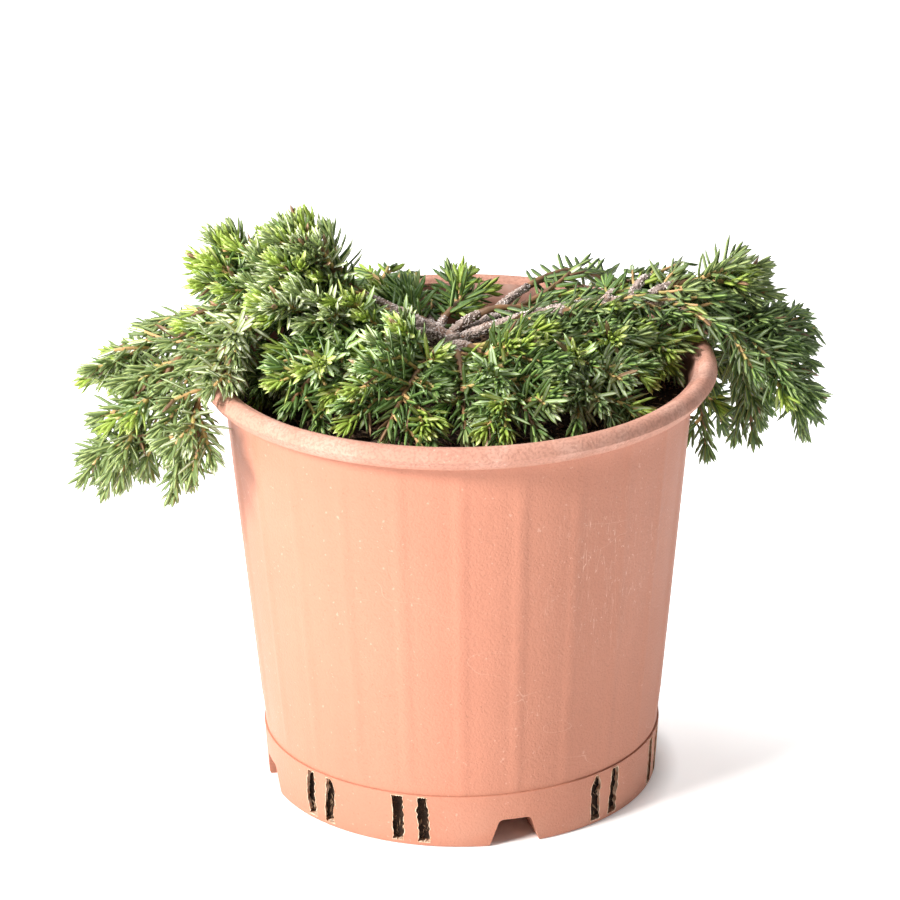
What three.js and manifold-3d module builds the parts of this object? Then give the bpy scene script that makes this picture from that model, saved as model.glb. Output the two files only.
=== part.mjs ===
// Potted shore juniper: a low weeping conifer in a round nursery pot.
// Millimetres, +Z up. The origin is the middle of the pot's flat underside.

import * as THREE from 'three';
import { mergeVertices } from 'three/addons/utils/BufferGeometryUtils.js';
import Module from 'manifold-3d';

const wasm = await Module();
wasm.setup();

const radians = THREE.MathUtils.degToRad;

// Driving dimensions of the pot
const POT = {
  height: 190,
  rimRadius: 110,
  rimDepth: 9.6,
  lipRadius: 101.4,
  wallTopRadius: 99.9,
  wallFootRadius: 85.7,
  footTopRadius: 86.3,
  footBaseRadius: 83,
  footHeight: 24.4,
  wall: 2.2,
  floor: 2.6,
  sides: 54,
};

// Four pockets in the underside that open through the foot
const NOTCH = {
  firstAzimuth: 15,
  count: 4,
  baseWidth: 25,
  roofWidth: 13.6,
  height: 12.5,
  innerReach: 46,
};

// Pairs of upright drainage slots in the foot
const SLOT = {
  fromNotch: 30,
  pairHalfAngle: 3.6,
  width: 4.4,
  low: 2.9,
  high: 20.8,
};

// Compost, with its surface a little below the rim
const SOIL = { level: 168, crown: 1.6, sides: 30 };

// Short stem that stands in the compost under the crown
const TRUNK = {
  foot: [4, 6],
  top: [-4, 16],
  height: 26,
  flareRadius: 9.5,
  baseRadius: 6.4,
  topRadius: 4.2,
  flareShare: 0.22,
  sides: 8,
  rings: 6,
};

// Limb and shoot proportions
const GAP = 0.3;
const WELD = 0.06;
const HANDLE = 0.38;
const LIMB = { baseRadius: 2.7, endRadius: 2, sides: 5, rings: 3 };
const STEM = { bareShare: 0.14 };
const SHOOT = {
  rootRadius: 1.3,
  lean: 50,
  curl: 0.16,
  least: 16,
  bareShare: 0.34,
  apart: 12,
  firstShare: 0.06,
  lastShare: 0.82,
  wander: 1.5,
  below: 0.35,
  leastScale: 0.8,
  moreScale: 0.4,
  rootScale: 1.2,
  taper: 0.6,
};
const SPRAY = {
  blades: 3,
  core: 1.8,
  notch: 3.4,
  tooth: 10.5,
  forward: 7.5,
  pitch: 10.5,
  twist: 34,
  point: 0.3,
  lastSize: 0.6,
  toothTip: 0.6,
};
const CLEARANCE = { foliage: 0.45, pot: 0.8, soil: 1.2, limb: 0.5 };

// Every limb runs from its parent's wood to the tip of its own mass of foliage.
// at is the share of the parent's leafless length where it starts; azimuth, reach and
// height place its tip about the pot's axis; leave and arrive are its slopes in degrees
// at both ends; bare is the leafless share of it, which is a bough of its own.
const LIMBS = [
  { name: 'left', from: 'trunk', at: 0.86, azimuth: 177, reach: 154, height: 176,
    leave: 14, arrive: -40, sway: 0, bare: 0.64, shoots: 7, spread: 28 },
  { name: 'left_top', from: 'trunk', at: 0.97, azimuth: 168, reach: 76, height: 240,
    leave: 30, arrive: 52, sway: -4, bare: 0.46, shoots: 8, spread: 29 },
  { name: 'left_crest', from: 'left_top', at: 0.5, azimuth: 168, reach: 118, height: 230,
    leave: 6, arrive: 24, sway: 6, bare: 0.3, shoots: 7, spread: 29 },
  { name: 'left_shoulder', from: 'left', at: 0.7, azimuth: 165, reach: 138, height: 193,
    leave: 36, arrive: -22, sway: 5, bare: 0.22, shoots: 6, spread: 24 },
  { name: 'left_low', from: 'left', at: 0.9, azimuth: 187, reach: 155, height: 132,
    leave: 6, arrive: -66, sway: 8, bare: 0.22, shoots: 6, spread: 24 },
  { name: 'left_under', from: 'left', at: 0.78, azimuth: 199, reach: 127, height: 142,
    leave: 58, arrive: -114, sway: 8, bare: 0.24, shoots: 6, spread: 22 },
  { name: 'inner_left', from: 'left', at: 0.38, azimuth: 188, reach: 90, height: 183,
    leave: 24, arrive: -34, sway: 6, bare: 0.2, shoots: 6, spread: 24 },
  { name: 'hub_left', from: 'trunk', at: 0.9, azimuth: 213, reach: 87, height: 183,
    leave: 34, arrive: -38, sway: -4, bare: 0.24, shoots: 7, spread: 26 },
  { name: 'hub_down', from: 'trunk', at: 0.78, azimuth: 247, reach: 81, height: 181,
    leave: 26, arrive: -40, sway: 4, bare: 0.26, shoots: 7, spread: 27 },
  { name: 'front', from: 'trunk', at: 0.7, azimuth: 272, reach: 72, height: 179,
    leave: 30, arrive: -42, sway: 0, bare: 0.24, shoots: 6, spread: 24 },
  { name: 'front_right', from: 'trunk', at: 0.84, azimuth: 294, reach: 84, height: 180,
    leave: 26, arrive: -38, sway: -4, bare: 0.26, shoots: 6, spread: 26 },
  { name: 'front_low', from: 'right', at: 0.26, azimuth: 318, reach: 87, height: 180,
    leave: 2, arrive: -26, sway: 5, bare: 0.16, shoots: 6, spread: 26 },
  { name: 'inner_right', from: 'right', at: 0.4, azimuth: 350, reach: 76, height: 194,
    leave: 24, arrive: -12, sway: -3, bare: 0.2, shoots: 6, spread: 23.5 },
  { name: 'centre_right', from: 'trunk', at: 0.98, azimuth: 38, reach: 58, height: 195,
    leave: 44, arrive: -22, sway: 2, bare: 0.3, shoots: 6, spread: 22 },
  { name: 'right', from: 'trunk', at: 0.9, azimuth: 14, reach: 162, height: 175,
    leave: 22, arrive: -38, sway: -4, bare: 0.62, shoots: 7, spread: 28 },
  { name: 'right_crest', from: 'right', at: 0.8, azimuth: 15, reach: 144, height: 203,
    leave: 34, arrive: -8, sway: 4, bare: 0.22, shoots: 5, spread: 19.5 },
  { name: 'right_shoulder', from: 'right', at: 0.64, azimuth: 29, reach: 98, height: 203,
    leave: 34, arrive: 24, sway: 4, bare: 0.22, shoots: 6, spread: 24 },
  { name: 'right_mid', from: 'right', at: 0.8, azimuth: 7, reach: 158, height: 150,
    leave: -4, arrive: -66, sway: -9, bare: 0.2, shoots: 6, spread: 24 },
  { name: 'right_low', from: 'right', at: 0.86, azimuth: 18, reach: 136, height: 132,
    leave: 4, arrive: -90, sway: 7, bare: 0.2, shoots: 7, spread: 25.5 },
  { name: 'right_under', from: 'right', at: 0.74, azimuth: 31, reach: 129, height: 116,
    leave: 38, arrive: -98, sway: 8, bare: 0.22, shoots: 6, spread: 23 },
  { name: 'back_right', from: 'trunk', at: 0.94, azimuth: 50, reach: 82, height: 209,
    leave: 14, arrive: 26, sway: -3, bare: 0.46, shoots: 7, spread: 25 },
  { name: 'back_outer', from: 'back_right', at: 0.5, azimuth: 57, reach: 136, height: 162,
    leave: 10, arrive: -90, sway: 7, bare: 0.28, shoots: 5, spread: 16 },
  { name: 'centre_top', from: 'trunk', at: 0.94, azimuth: 126, reach: 60, height: 203,
    leave: 20, arrive: 34, sway: -3, bare: 0.34, shoots: 6, spread: 22 },
  { name: 'centre_reach', from: 'centre_top', at: 0.5, azimuth: 71, reach: 59, height: 202,
    leave: 20, arrive: 0, sway: 6, bare: 0.16, shoots: 5, spread: 20 },
  { name: 'back_middle', from: 'trunk', at: 0.74, azimuth: 112, reach: 112, height: 193,
    leave: 16, arrive: -6, sway: 0, bare: 0.4, shoots: 6, spread: 20 },
  { name: 'back_left', from: 'trunk', at: 0.82, azimuth: 142, reach: 132, height: 170,
    leave: 28, arrive: -62, sway: 7, bare: 0.5, shoots: 6, spread: 26 },
  { name: 'inner_top', from: 'left_top', at: 0.3, azimuth: 186, reach: 86, height: 208,
    leave: 0, arrive: -30, sway: 6, bare: 0.16, shoots: 7, spread: 25 },
  { name: 'right_inner', from: 'right', at: 0.6, azimuth: 3, reach: 90, height: 184,
    leave: -16, arrive: -56, sway: 0, bare: 0.16, shoots: 6, spread: 21.5 },
];

const UP = new THREE.Vector3(0, 0, 1);

// Repeatable draws between 0 and 1
function drawsFrom(seed) {
  let state = seed;
  return () => {
    state = (state * 16807) % 2147483647;
    return state / 2147483647;
  };
}

// A closed geometry as a solid, with vertices closer than the weld distance made one
function solid(geometry, weld = 1e-4) {
  geometry.deleteAttribute('normal');
  geometry.deleteAttribute('uv');
  const merged = mergeVertices(geometry, weld);
  const index = merged.index.array;
  const corners = [];
  for (let i = 0; i < index.length; i += 3) {
    const [a, b, c] = [index[i], index[i + 1], index[i + 2]];
    if (a !== b && b !== c && c !== a) corners.push(a, b, c);
  }
  return new wasm.Manifold(new wasm.Mesh({
    numProp: 3,
    vertProperties: merged.attributes.position.array,
    triVerts: Uint32Array.from(corners),
  }));
}

// The solid's main body, without loose scraps or sealed hollows
function mainBody(body) {
  const pieces = body.decompose();
  pieces.sort((a, b) => Math.abs(b.volume()) - Math.abs(a.volume()));
  return pieces[0];
}

// The solid's surface as a geometry
function surface(body) {
  const mesh = body.getMesh();
  const geometry = new THREE.BufferGeometry();
  geometry.setAttribute('position', new THREE.BufferAttribute(mesh.vertProperties, 3));
  geometry.setIndex(new THREE.BufferAttribute(mesh.triVerts, 1));
  return geometry;
}

function namedMesh(name, body, material) {
  const geometry = surface(body);
  geometry.computeVertexNormals();
  const node = new THREE.Mesh(geometry, material);
  node.name = name;
  return node;
}

// A turned solid from a profile of [radius, height] points
function turned(profile, sides) {
  const points = profile.map(([radius, height]) => new THREE.Vector2(radius, height));
  return solid(new THREE.LatheGeometry(points, sides).rotateX(Math.PI / 2));
}

// Radius of the pot's outer wall at a height above the foot
function wallRadius(height) {
  const share = (height - POT.footHeight) / (POT.height - POT.rimDepth - POT.footHeight);
  return POT.wallFootRadius + share * (POT.wallTopRadius - POT.wallFootRadius);
}

// Inside of the pot, kept a distance away from its wall and floor
function innerProfile(inset, top) {
  const footShare = (POT.floor + inset) / POT.footHeight;
  const floorRadius = POT.footBaseRadius + footShare * (POT.footTopRadius - POT.footBaseRadius);
  const skin = POT.wall + inset;
  return [
    [floorRadius - skin, POT.floor + inset],
    [wallRadius(POT.footHeight) - skin, POT.footHeight],
    [wallRadius(top) - skin, top],
  ];
}

// A block with sloping sides that points outward from the pot's axis
function notchBlock(azimuth, skin) {
  const low = NOTCH.baseWidth / 2 + skin;
  const high = NOTCH.roofWidth / 2 + skin;
  const roof = NOTCH.height + skin;
  const slope = (low - high) / roof;
  const below = skin ? POT.floor / 2 : 2;
  const outline = new THREE.Shape();
  outline.moveTo(-low - slope * below, -below);
  outline.lineTo(low + slope * below, -below);
  outline.lineTo(high, roof);
  outline.lineTo(-high, roof);
  outline.closePath();
  const start = NOTCH.innerReach - skin;
  const length = POT.rimRadius - start;
  const block = new THREE.ExtrudeGeometry(outline, { depth: length, bevelEnabled: false });
  block.rotateX(Math.PI / 2).rotateZ(Math.PI / 2).translate(start, 0, 0);
  return solid(block.rotateZ(radians(azimuth)));
}

function notchAzimuths() {
  return Array.from({ length: NOTCH.count }, (_, i) => NOTCH.firstAzimuth + (i * 360) / NOTCH.count);
}

// Upright slot through the foot's wall
function slotBlock(azimuth) {
  const height = SLOT.high - SLOT.low;
  const block = new THREE.BoxGeometry(20, SLOT.width, height);
  block.translate(POT.footTopRadius, 0, SLOT.low + height / 2);
  return solid(block.rotateZ(radians(azimuth)));
}

function makePot() {
  const rimUnder = POT.height - POT.rimDepth;
  const shell = turned([
    [0, 0],
    [POT.footBaseRadius - 0.8, 0],
    [POT.footBaseRadius, 0.8],
    [POT.footTopRadius, POT.footHeight - 0.7],
    [POT.wallFootRadius, POT.footHeight],
    [POT.wallTopRadius, rimUnder],
    [POT.rimRadius - 2.6, rimUnder],
    [POT.rimRadius - 0.6, rimUnder + 2],
    [POT.rimRadius, rimUnder + 4.8],
    [POT.rimRadius - 0.8, POT.height - 2.2],
    [POT.rimRadius - 3.2, POT.height - 0.4],
    [POT.rimRadius - 5.8, POT.height],
    [POT.lipRadius, POT.height - 1.8],
    ...innerProfile(0, rimUnder - 1).reverse(),
    [0, POT.floor],
  ], POT.sides);
  const inside = turned([[0, POT.floor / 2], ...innerProfile(-POT.wall / 2, rimUnder - 1),
    [0, rimUnder - 1]], POT.sides);
  let pot = shell;
  for (const azimuth of notchAzimuths()) {
    pot = pot.add(notchBlock(azimuth, POT.wall).intersect(inside));
  }
  for (const azimuth of notchAzimuths()) {
    pot = pot.subtract(notchBlock(azimuth, 0));
    for (const side of [-SLOT.fromNotch, SLOT.fromNotch]) {
      for (const turn of [-SLOT.pairHalfAngle, SLOT.pairHalfAngle]) {
        pot = pot.subtract(slotBlock(azimuth + side + turn));
      }
    }
  }
  return mainBody(pot);
}

function makeSoil() {
  const wall = innerProfile(GAP, SOIL.level - 0.6);
  const surface = [
    [wall.at(-1)[0] * 0.8, SOIL.level + SOIL.crown],
    [wall.at(-1)[0] * 0.45, SOIL.level - 0.4],
    [24, SOIL.level],
    [0, SOIL.level],
  ];
  let soil = turned([[0, wall[0][1]], ...wall, ...surface], SOIL.sides);
  for (const azimuth of notchAzimuths()) {
    soil = soil.subtract(notchBlock(azimuth, POT.wall + GAP));
  }
  return mainBody(soil);
}

// Two unit vectors square to a tangent; the first lies square to the reference too
function across(tangent, reference) {
  const first = new THREE.Vector3().crossVectors(reference, tangent).normalize();
  const second = new THREE.Vector3().crossVectors(first, tangent);
  return [first, second];
}

// A cylinder bent along a path, with a radius for every share of its length
function bentTube(path, reference, radiusAt, sides, rings) {
  const tube = new THREE.CylinderGeometry(1, 1, 1, sides, rings);
  const points = tube.attributes.position;
  for (let i = 0; i < points.count; i += 1) {
    const share = points.getY(i) + 0.5;
    const centre = path.getPoint(share);
    const [first, second] = across(path.getTangent(share), reference);
    const radius = radiusAt(share);
    centre.addScaledVector(first, points.getX(i) * radius);
    centre.addScaledVector(second, points.getZ(i) * radius);
    points.setXYZ(i, centre.x, centre.y, centre.z);
  }
  return solid(tube);
}

// The stretch of a cubic curve between two shares of its length
function stretch(curve, from, to) {
  const part = (a, b, c) => {
    const hold = [a, b, c].map((share) => 1 - share);
    const [p0, p1, p2, p3] = [curve.v0, curve.v1, curve.v2, curve.v3];
    return new THREE.Vector3()
      .addScaledVector(p0, hold[0] * hold[1] * hold[2])
      .addScaledVector(p1, a * hold[1] * hold[2] + b * hold[0] * hold[2] + c * hold[0] * hold[1])
      .addScaledVector(p2, a * b * hold[2] + a * c * hold[1] + b * c * hold[0])
      .addScaledVector(p3, a * b * c);
  };
  return new THREE.CubicBezierCurve3(
    part(from, from, from), part(from, from, to), part(from, to, to), part(to, to, to));
}

// Path of the short trunk, upright where it leaves the compost
function trunkPath() {
  const foot = new THREE.Vector3(TRUNK.foot[0], TRUNK.foot[1], SOIL.level + GAP);
  const top = new THREE.Vector3(TRUNK.top[0], TRUNK.top[1], SOIL.level + TRUNK.height);
  const low = foot.clone().addScaledVector(UP, TRUNK.height * HANDLE);
  const high = top.clone().add(new THREE.Vector3(2, -3, -TRUNK.height * HANDLE));
  return new THREE.CubicBezierCurve3(foot, low, high, top);
}

function trunkRadius(share) {
  const taper = TRUNK.baseRadius + share * (TRUNK.topRadius - TRUNK.baseRadius);
  const flare = Math.max(0, 1 - share / TRUNK.flareShare);
  return taper + (TRUNK.flareRadius - TRUNK.baseRadius) * flare * flare;
}

// A unit vector along a heading, tilted up by some degrees
function tilted(heading, degrees) {
  const slope = radians(degrees);
  return heading.clone().multiplyScalar(Math.cos(slope)).addScaledVector(UP, Math.sin(slope));
}

function limbPath(start, limb) {
  const turn = radians(limb.azimuth);
  const tip = new THREE.Vector3(Math.cos(turn) * limb.reach, Math.sin(turn) * limb.reach, limb.height);
  const chord = tip.clone().sub(start);
  const heading = new THREE.Vector3(chord.x, chord.y, 0).normalize();
  const side = new THREE.Vector3().crossVectors(UP, heading);
  const handle = chord.length() * HANDLE;
  const first = start.clone().addScaledVector(tilted(heading, limb.leave), handle);
  const second = tip.clone().addScaledVector(tilted(heading, limb.arrive), -handle);
  first.addScaledVector(side, limb.sway);
  second.addScaledVector(side, limb.sway);
  return { path: new THREE.CubicBezierCurve3(start, first, second, tip), side };
}

// Paths of all limbs, each from a point on its parent's path
function layOutLimbs() {
  const trunk = trunkPath();
  const laid = new Map();
  const pending = [...LIMBS];
  while (pending.length) {
    const limb = pending.shift();
    const parent = limb.from === 'trunk' ? trunk : laid.get(limb.from)?.bough;
    if (!parent) {
      pending.push(limb);
    } else {
      const { path, side } = limbPath(parent.getPoint(limb.at), limb);
      const clear = GAP / path.getLength();
      laid.set(limb.name, {
        ...limb,
        path,
        side,
        bough: stretch(path, 0, limb.bare),
        stem: stretch(path, limb.bare + clear, 1),
      });
    }
  }
  return LIMBS.map((limb) => laid.get(limb.name));
}

const trunkAxis = trunkPath();
const limbs = layOutLimbs();

function boughRadius(share) {
  return LIMB.baseRadius + share * (LIMB.endRadius - LIMB.baseRadius);
}

// Points along a path, with the radius there
function samples(path, radiusAt, count) {
  return Array.from({ length: count + 1 }, (_, i) => ({
    point: path.getPoint(i / count),
    radius: radiusAt(i / count),
  }));
}

const AXIS_SAMPLES = 24;
const wood = [
  ...samples(trunkAxis, trunkRadius, AXIS_SAMPLES),
  ...limbs.flatMap((limb) => samples(limb.bough, boughRadius, AXIS_SAMPLES)),
];
const stemAxes = limbs.map((limb) => samples(limb.stem, () => SPRAY.core, AXIS_SAMPLES));

function nearest(axis, point) {
  return Math.min(...axis.map((sample) => sample.point.distanceTo(point)));
}

// Room between a point and the pot or the compost
function potRoom(point) {
  const radius = Math.hypot(point.x, point.y);
  const rimMiddle = (POT.rimRadius + POT.lipRadius - POT.wall) / 2;
  const rimHalf = POT.rimRadius - rimMiddle;
  const sideways = Math.max(0, Math.abs(radius - rimMiddle) - rimHalf + 2);
  const upward = Math.max(0, Math.abs(point.z - POT.height + POT.rimDepth / 2) - POT.rimDepth / 2 + 2);
  const rim = Math.hypot(sideways, upward) - 2;
  const wall = point.z < POT.height - 2
    ? Math.abs(radius - wallRadius(point.z) + POT.wall / 2) - POT.wall / 2
    : Infinity;
  return Math.min(rim, wall);
}

function soilRoom(point) {
  const inPot = Math.hypot(point.x, point.y) < POT.wallTopRadius;
  return inPot ? point.z - SOIL.level - SOIL.crown : Infinity;
}

// True where a round of this radius stays in the mass's own space and clear of the rest
function isFree(index, point, radius) {
  if (potRoom(point) < radius + CLEARANCE.pot) return false;
  if (soilRoom(point) < radius + CLEARANCE.soil) return false;
  const own = nearest(stemAxes[index], point);
  const margin = 2 * (radius + CLEARANCE.foliage);
  const crossed = stemAxes.some((axis, i) => i !== index && nearest(axis, point) < own + margin);
  if (crossed) return false;
  return wood.every(
    (sample) => sample.point.distanceTo(point) > sample.radius + radius + CLEARANCE.limb);
}

// Share of a blade's wanted reach that stays in the mass's own space
function bladeShare(index, centre, outward, tangent, ring) {
  for (let share = 1; share > 0.2; share -= 0.16) {
    const tip = centre.clone().addScaledVector(outward, ring.outer * share);
    tip.addScaledVector(tangent, ring.forward * share);
    if (isFree(index, tip, SPRAY.toothTip)) return share;
  }
  return 0;
}

// Rings of a needled shoot: its root, a notch and a tooth for every whorl, and its point
function sprayRings(path, rootRadius, bareShare) {
  const run = 1 - bareShare;
  const whorls = Math.max(2, Math.round((path.getLength() * run) / SPRAY.pitch));
  const plain = { forward: 0, twist: 0 };
  const rings = [{ share: 0, core: rootRadius, outer: rootRadius, ...plain }];
  for (let whorl = 0; whorl < whorls; whorl += 1) {
    const start = bareShare + (run * whorl) / whorls;
    const twist = whorl * radians(SPRAY.twist);
    const size = whorl === whorls - 1 ? SPRAY.lastSize : 1;
    rings.push({ share: start, core: SPRAY.core, outer: SPRAY.notch, forward: 0, twist });
    rings.push({ share: start + (0.5 * run) / whorls, core: SPRAY.core * size,
      outer: SPRAY.tooth * size, forward: SPRAY.forward, twist });
  }
  rings.push({ share: 1, core: SPRAY.point, outer: SPRAY.point, ...plain });
  return rings;
}

// A shoot whose needles stand out as toothed blades along it
function needledShoot(index, path, reference, rootRadius, bareShare, phase) {
  const rings = sprayRings(path, rootRadius, bareShare);
  const sides = 2 * SPRAY.blades;
  const spray = new THREE.CylinderGeometry(1, 1, 1, sides, rings.length - 1);
  const points = spray.attributes.position;
  for (let i = 0; i < points.count; i += 1) {
    const [x, z] = [points.getX(i), points.getZ(i)];
    const ring = rings[Math.round((points.getY(i) + 0.5) * (rings.length - 1))];
    const place = path.getPoint(ring.share);
    if (Math.hypot(x, z) > 0.5) {
      const tangent = path.getTangent(ring.share);
      const [first, second] = across(tangent, reference);
      const side = Math.round((Math.atan2(x, z) * sides) / (2 * Math.PI));
      const turn = (side * 2 * Math.PI) / sides + ring.twist + phase;
      const outward = first.multiplyScalar(Math.sin(turn)).addScaledVector(second, Math.cos(turn));
      const stands = side % 2 === 0 && ring.outer > ring.core;
      const share = stands ? bladeShare(index, place, outward, tangent, ring) : 0;
      place.addScaledVector(outward, Math.max(ring.core, share * ring.outer));
      place.addScaledVector(tangent, share * ring.forward);
    }
    points.setXYZ(i, place.x, place.y, place.z);
  }
  return solid(spray);
}

// A side shoot, cut short where it would leave the mass's own space
function sideShoot(index, limb, share, turn, length) {
  const root = limb.stem.getPoint(share);
  const tangent = limb.stem.getTangent(share);
  const [first, second] = across(tangent, limb.side);
  const lean = radians(SHOOT.lean);
  const direction = tangent.clone().multiplyScalar(Math.cos(lean));
  direction.addScaledVector(first, Math.sin(lean) * Math.cos(turn));
  direction.addScaledVector(second, Math.sin(lean) * Math.sin(turn));
  const middle = root.clone().addScaledVector(direction, length / 2);
  const tip = root.clone().addScaledVector(direction, length);
  tip.addScaledVector(tangent, length * SHOOT.curl);
  const whole = new THREE.QuadraticBezierCurve3(root, middle, tip);
  const steps = 12;
  let reached = 0.2;
  while (reached < 1 && isFree(index, whole.getPoint(reached + 1 / steps), SPRAY.core)) {
    reached += 1 / steps;
  }
  reached = Math.min(reached, 1);
  if (reached * length < SHOOT.least) return null;
  const bend = root.clone().addScaledVector(direction, (length * reached) / 2);
  const path = new THREE.QuadraticBezierCurve3(root, bend, whole.getPoint(reached));
  return { path, reference: tangent };
}

function outerPoints(path) {
  return [0.5, 0.75, 1].map((share) => path.getPoint(share));
}

// True where the outer half of a shoot keeps its distance from the shoots before it
function isApart(path, taken) {
  return outerPoints(path).every(
    (point) => taken.every((other) => point.distanceTo(other) >= SHOOT.apart));
}

// One mass: a needled stem and the side shoots that alternate along it, kept apart
function makeMass(index) {
  const limb = limbs[index];
  const draw = drawsFrom(1009 + 97 * index);
  const pieces = [needledShoot(
    index, limb.stem, limb.side, LIMB.endRadius, STEM.bareShare, draw() * Math.PI)];
  const taken = [];
  for (let i = 0; i < limb.shoots; i += 1) {
    const along = (SHOOT.lastShare - SHOOT.firstShare) * ((i + 0.5 * draw()) / limb.shoots);
    const share = SHOOT.firstShare + along;
    const outward = i % 2 ? 1 : -1;
    const turn = outward * (Math.PI / 2 + (draw() - SHOOT.below) * SHOOT.wander);
    const scale = SHOOT.leastScale + SHOOT.moreScale * draw();
    const length = limb.spread * scale * (SHOOT.rootScale - SHOOT.taper * share);
    const phase = draw() * Math.PI;
    const shoot = sideShoot(index, limb, share, turn, length);
    if (shoot && isApart(shoot.path, taken)) {
      taken.push(...outerPoints(shoot.path));
      pieces.push(needledShoot(
        index, shoot.path, shoot.reference, SHOOT.rootRadius, SHOOT.bareShare, phase));
    }
  }
  return mainBody(solid(surface(wasm.Manifold.union(pieces)), WELD));
}

// A bough, cut clear of the trunk and of the boughs made before it
function makeBough(limb, earlier) {
  let bough = bentTube(limb.bough, limb.side, boughRadius, LIMB.sides, LIMB.rings);
  for (const neighbour of earlier) bough = bough.subtract(neighbour);
  return mainBody(bough);
}

function grown(radiusAt) {
  return (share) => radiusAt(share) + GAP;
}

// Finishes
const terracotta = { color: 0xc98867, roughness: 0.62, metalness: 0 };
const compost = { color: 0x2e2118, roughness: 0.95, metalness: 0 };
const bark = { color: 0x8a7463, roughness: 0.9, metalness: 0 };
const foliage = { color: 0x4f7a3c, roughness: 0.6, metalness: 0 };

const plant = new THREE.Group();
const standard = (finish) => new THREE.MeshStandardMaterial(finish);

plant.add(namedMesh('pot', makePot(), standard(terracotta)));
plant.add(namedMesh('soil', makeSoil(), standard(compost)));

const trunk = bentTube(trunkAxis, new THREE.Vector3(0, 1, 0), trunkRadius, TRUNK.sides, TRUNK.rings);
plant.add(namedMesh('trunk', trunk, standard(bark)));

const trunkSpace = bentTube(
  trunkAxis, new THREE.Vector3(0, 1, 0), grown(trunkRadius), TRUNK.sides, TRUNK.rings);
const earlier = [trunkSpace];
for (const limb of limbs) {
  plant.add(namedMesh(`${limb.name}_bough`, makeBough(limb, earlier), standard(bark)));
  earlier.push(bentTube(limb.bough, limb.side, grown(boughRadius), LIMB.sides, LIMB.rings));
}

limbs.forEach((limb, index) => {
  plant.add(namedMesh(`${limb.name}_foliage`, makeMass(index), standard(foliage)));
});

export default plant;
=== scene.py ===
# Potted shore juniper: the finished look of the plant, its pot and its compost.
# Metres, +Z up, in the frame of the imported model.
import math
from contextlib import contextmanager
from functools import reduce

import bpy
import numpy as np
from bpy.props import FloatProperty, FloatVectorProperty, IntProperty, PointerProperty
from mathutils import Euler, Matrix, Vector


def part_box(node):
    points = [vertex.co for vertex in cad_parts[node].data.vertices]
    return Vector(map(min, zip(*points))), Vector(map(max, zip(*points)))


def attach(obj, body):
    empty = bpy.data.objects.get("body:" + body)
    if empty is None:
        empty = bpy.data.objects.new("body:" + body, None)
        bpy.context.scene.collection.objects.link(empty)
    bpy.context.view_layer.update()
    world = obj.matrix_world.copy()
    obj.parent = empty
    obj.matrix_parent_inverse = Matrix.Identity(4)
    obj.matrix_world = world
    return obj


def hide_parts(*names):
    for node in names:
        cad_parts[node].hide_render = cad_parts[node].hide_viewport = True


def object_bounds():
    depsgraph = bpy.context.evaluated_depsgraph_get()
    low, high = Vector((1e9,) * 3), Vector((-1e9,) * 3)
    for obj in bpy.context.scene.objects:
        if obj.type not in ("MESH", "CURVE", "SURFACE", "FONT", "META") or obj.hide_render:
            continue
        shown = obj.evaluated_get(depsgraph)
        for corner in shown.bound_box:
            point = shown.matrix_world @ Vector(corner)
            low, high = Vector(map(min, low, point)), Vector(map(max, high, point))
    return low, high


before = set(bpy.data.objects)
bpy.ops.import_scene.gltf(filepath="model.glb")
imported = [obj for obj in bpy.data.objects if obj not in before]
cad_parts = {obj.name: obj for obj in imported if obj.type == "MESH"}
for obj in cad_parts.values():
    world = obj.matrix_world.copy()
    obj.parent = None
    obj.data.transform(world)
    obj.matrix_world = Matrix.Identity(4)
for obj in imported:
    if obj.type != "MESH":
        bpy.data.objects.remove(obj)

bl_info = {
    "name": "Potted Shore Juniper",
    "version": (1, 0, 0),
    "blender": (4, 5, 0),
    "location": "3D View > Sidebar > Juniper",
    "description": "Models a weeping shore juniper in a round nursery pot",
    "category": "Add Mesh",
}

CAD_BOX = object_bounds()
MM = 0.001
POT_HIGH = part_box("pot")[1]
FOLIAGE = sorted(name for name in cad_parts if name.endswith("_foliage"))
BOUGHS = sorted(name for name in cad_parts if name.endswith("_bough"))

# Pot, in metres
RIM_RADIUS = POT_HIGH.y
POT_HEIGHT = POT_HIGH.z
RIM_DEPTH = 9.6 * MM
RIM_UNDER = POT_HEIGHT - RIM_DEPTH
LIP_RADIUS = 101.4 * MM
WALL_TOP_RADIUS = 99.9 * MM
WALL_FOOT_RADIUS = 85.7 * MM
FOOT_TOP_RADIUS = 86.5 * MM
FOOT_BASE_RADIUS = 85 * MM
FOOT_HEIGHT = 24.4 * MM
WALL_ROWS = 14
SEAM = 0.22 * MM
# The rolled rim's section: its middle over the rim's underside, half its height, its turn
ROLL = {"middle": 4.6 * MM, "half": 5.0 * MM, "steps": 9, "sweep": 0.92, "start": 0.35}
WALL = 2.2 * MM
FLOOR = 2.6 * MM
# The ground glows a little, as a lit white sweep does, but not under the pot
FLOOR_GLOW = {"edge": (80 * MM, 96 * MM), "strength": 0.58}
NOTCH = {"first": 15, "count": 4, "base": 25 * MM, "roof": 13.6 * MM, "height": 12.5 * MM,
         "reach": 46 * MM, "corner": 1.6 * MM}
SLOT = {"from_notch": 30, "half_angle": 3.7, "width": 5.4 * MM, "low": 2.2 * MM, "high": 23.4 * MM,
        "depth": 16 * MM, "ragged": 0.6 * MM, "cuts": 15, "undercut": 0.6,
        "flash": 0.3 * MM, "proud": 0.14 * MM, "skin": 1.6 * MM, "torn": 1.5, "waves": 5.2,
        "pinch": 0.6, "pinch_from": 0.78, "pinch_run": 0.22}
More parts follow.
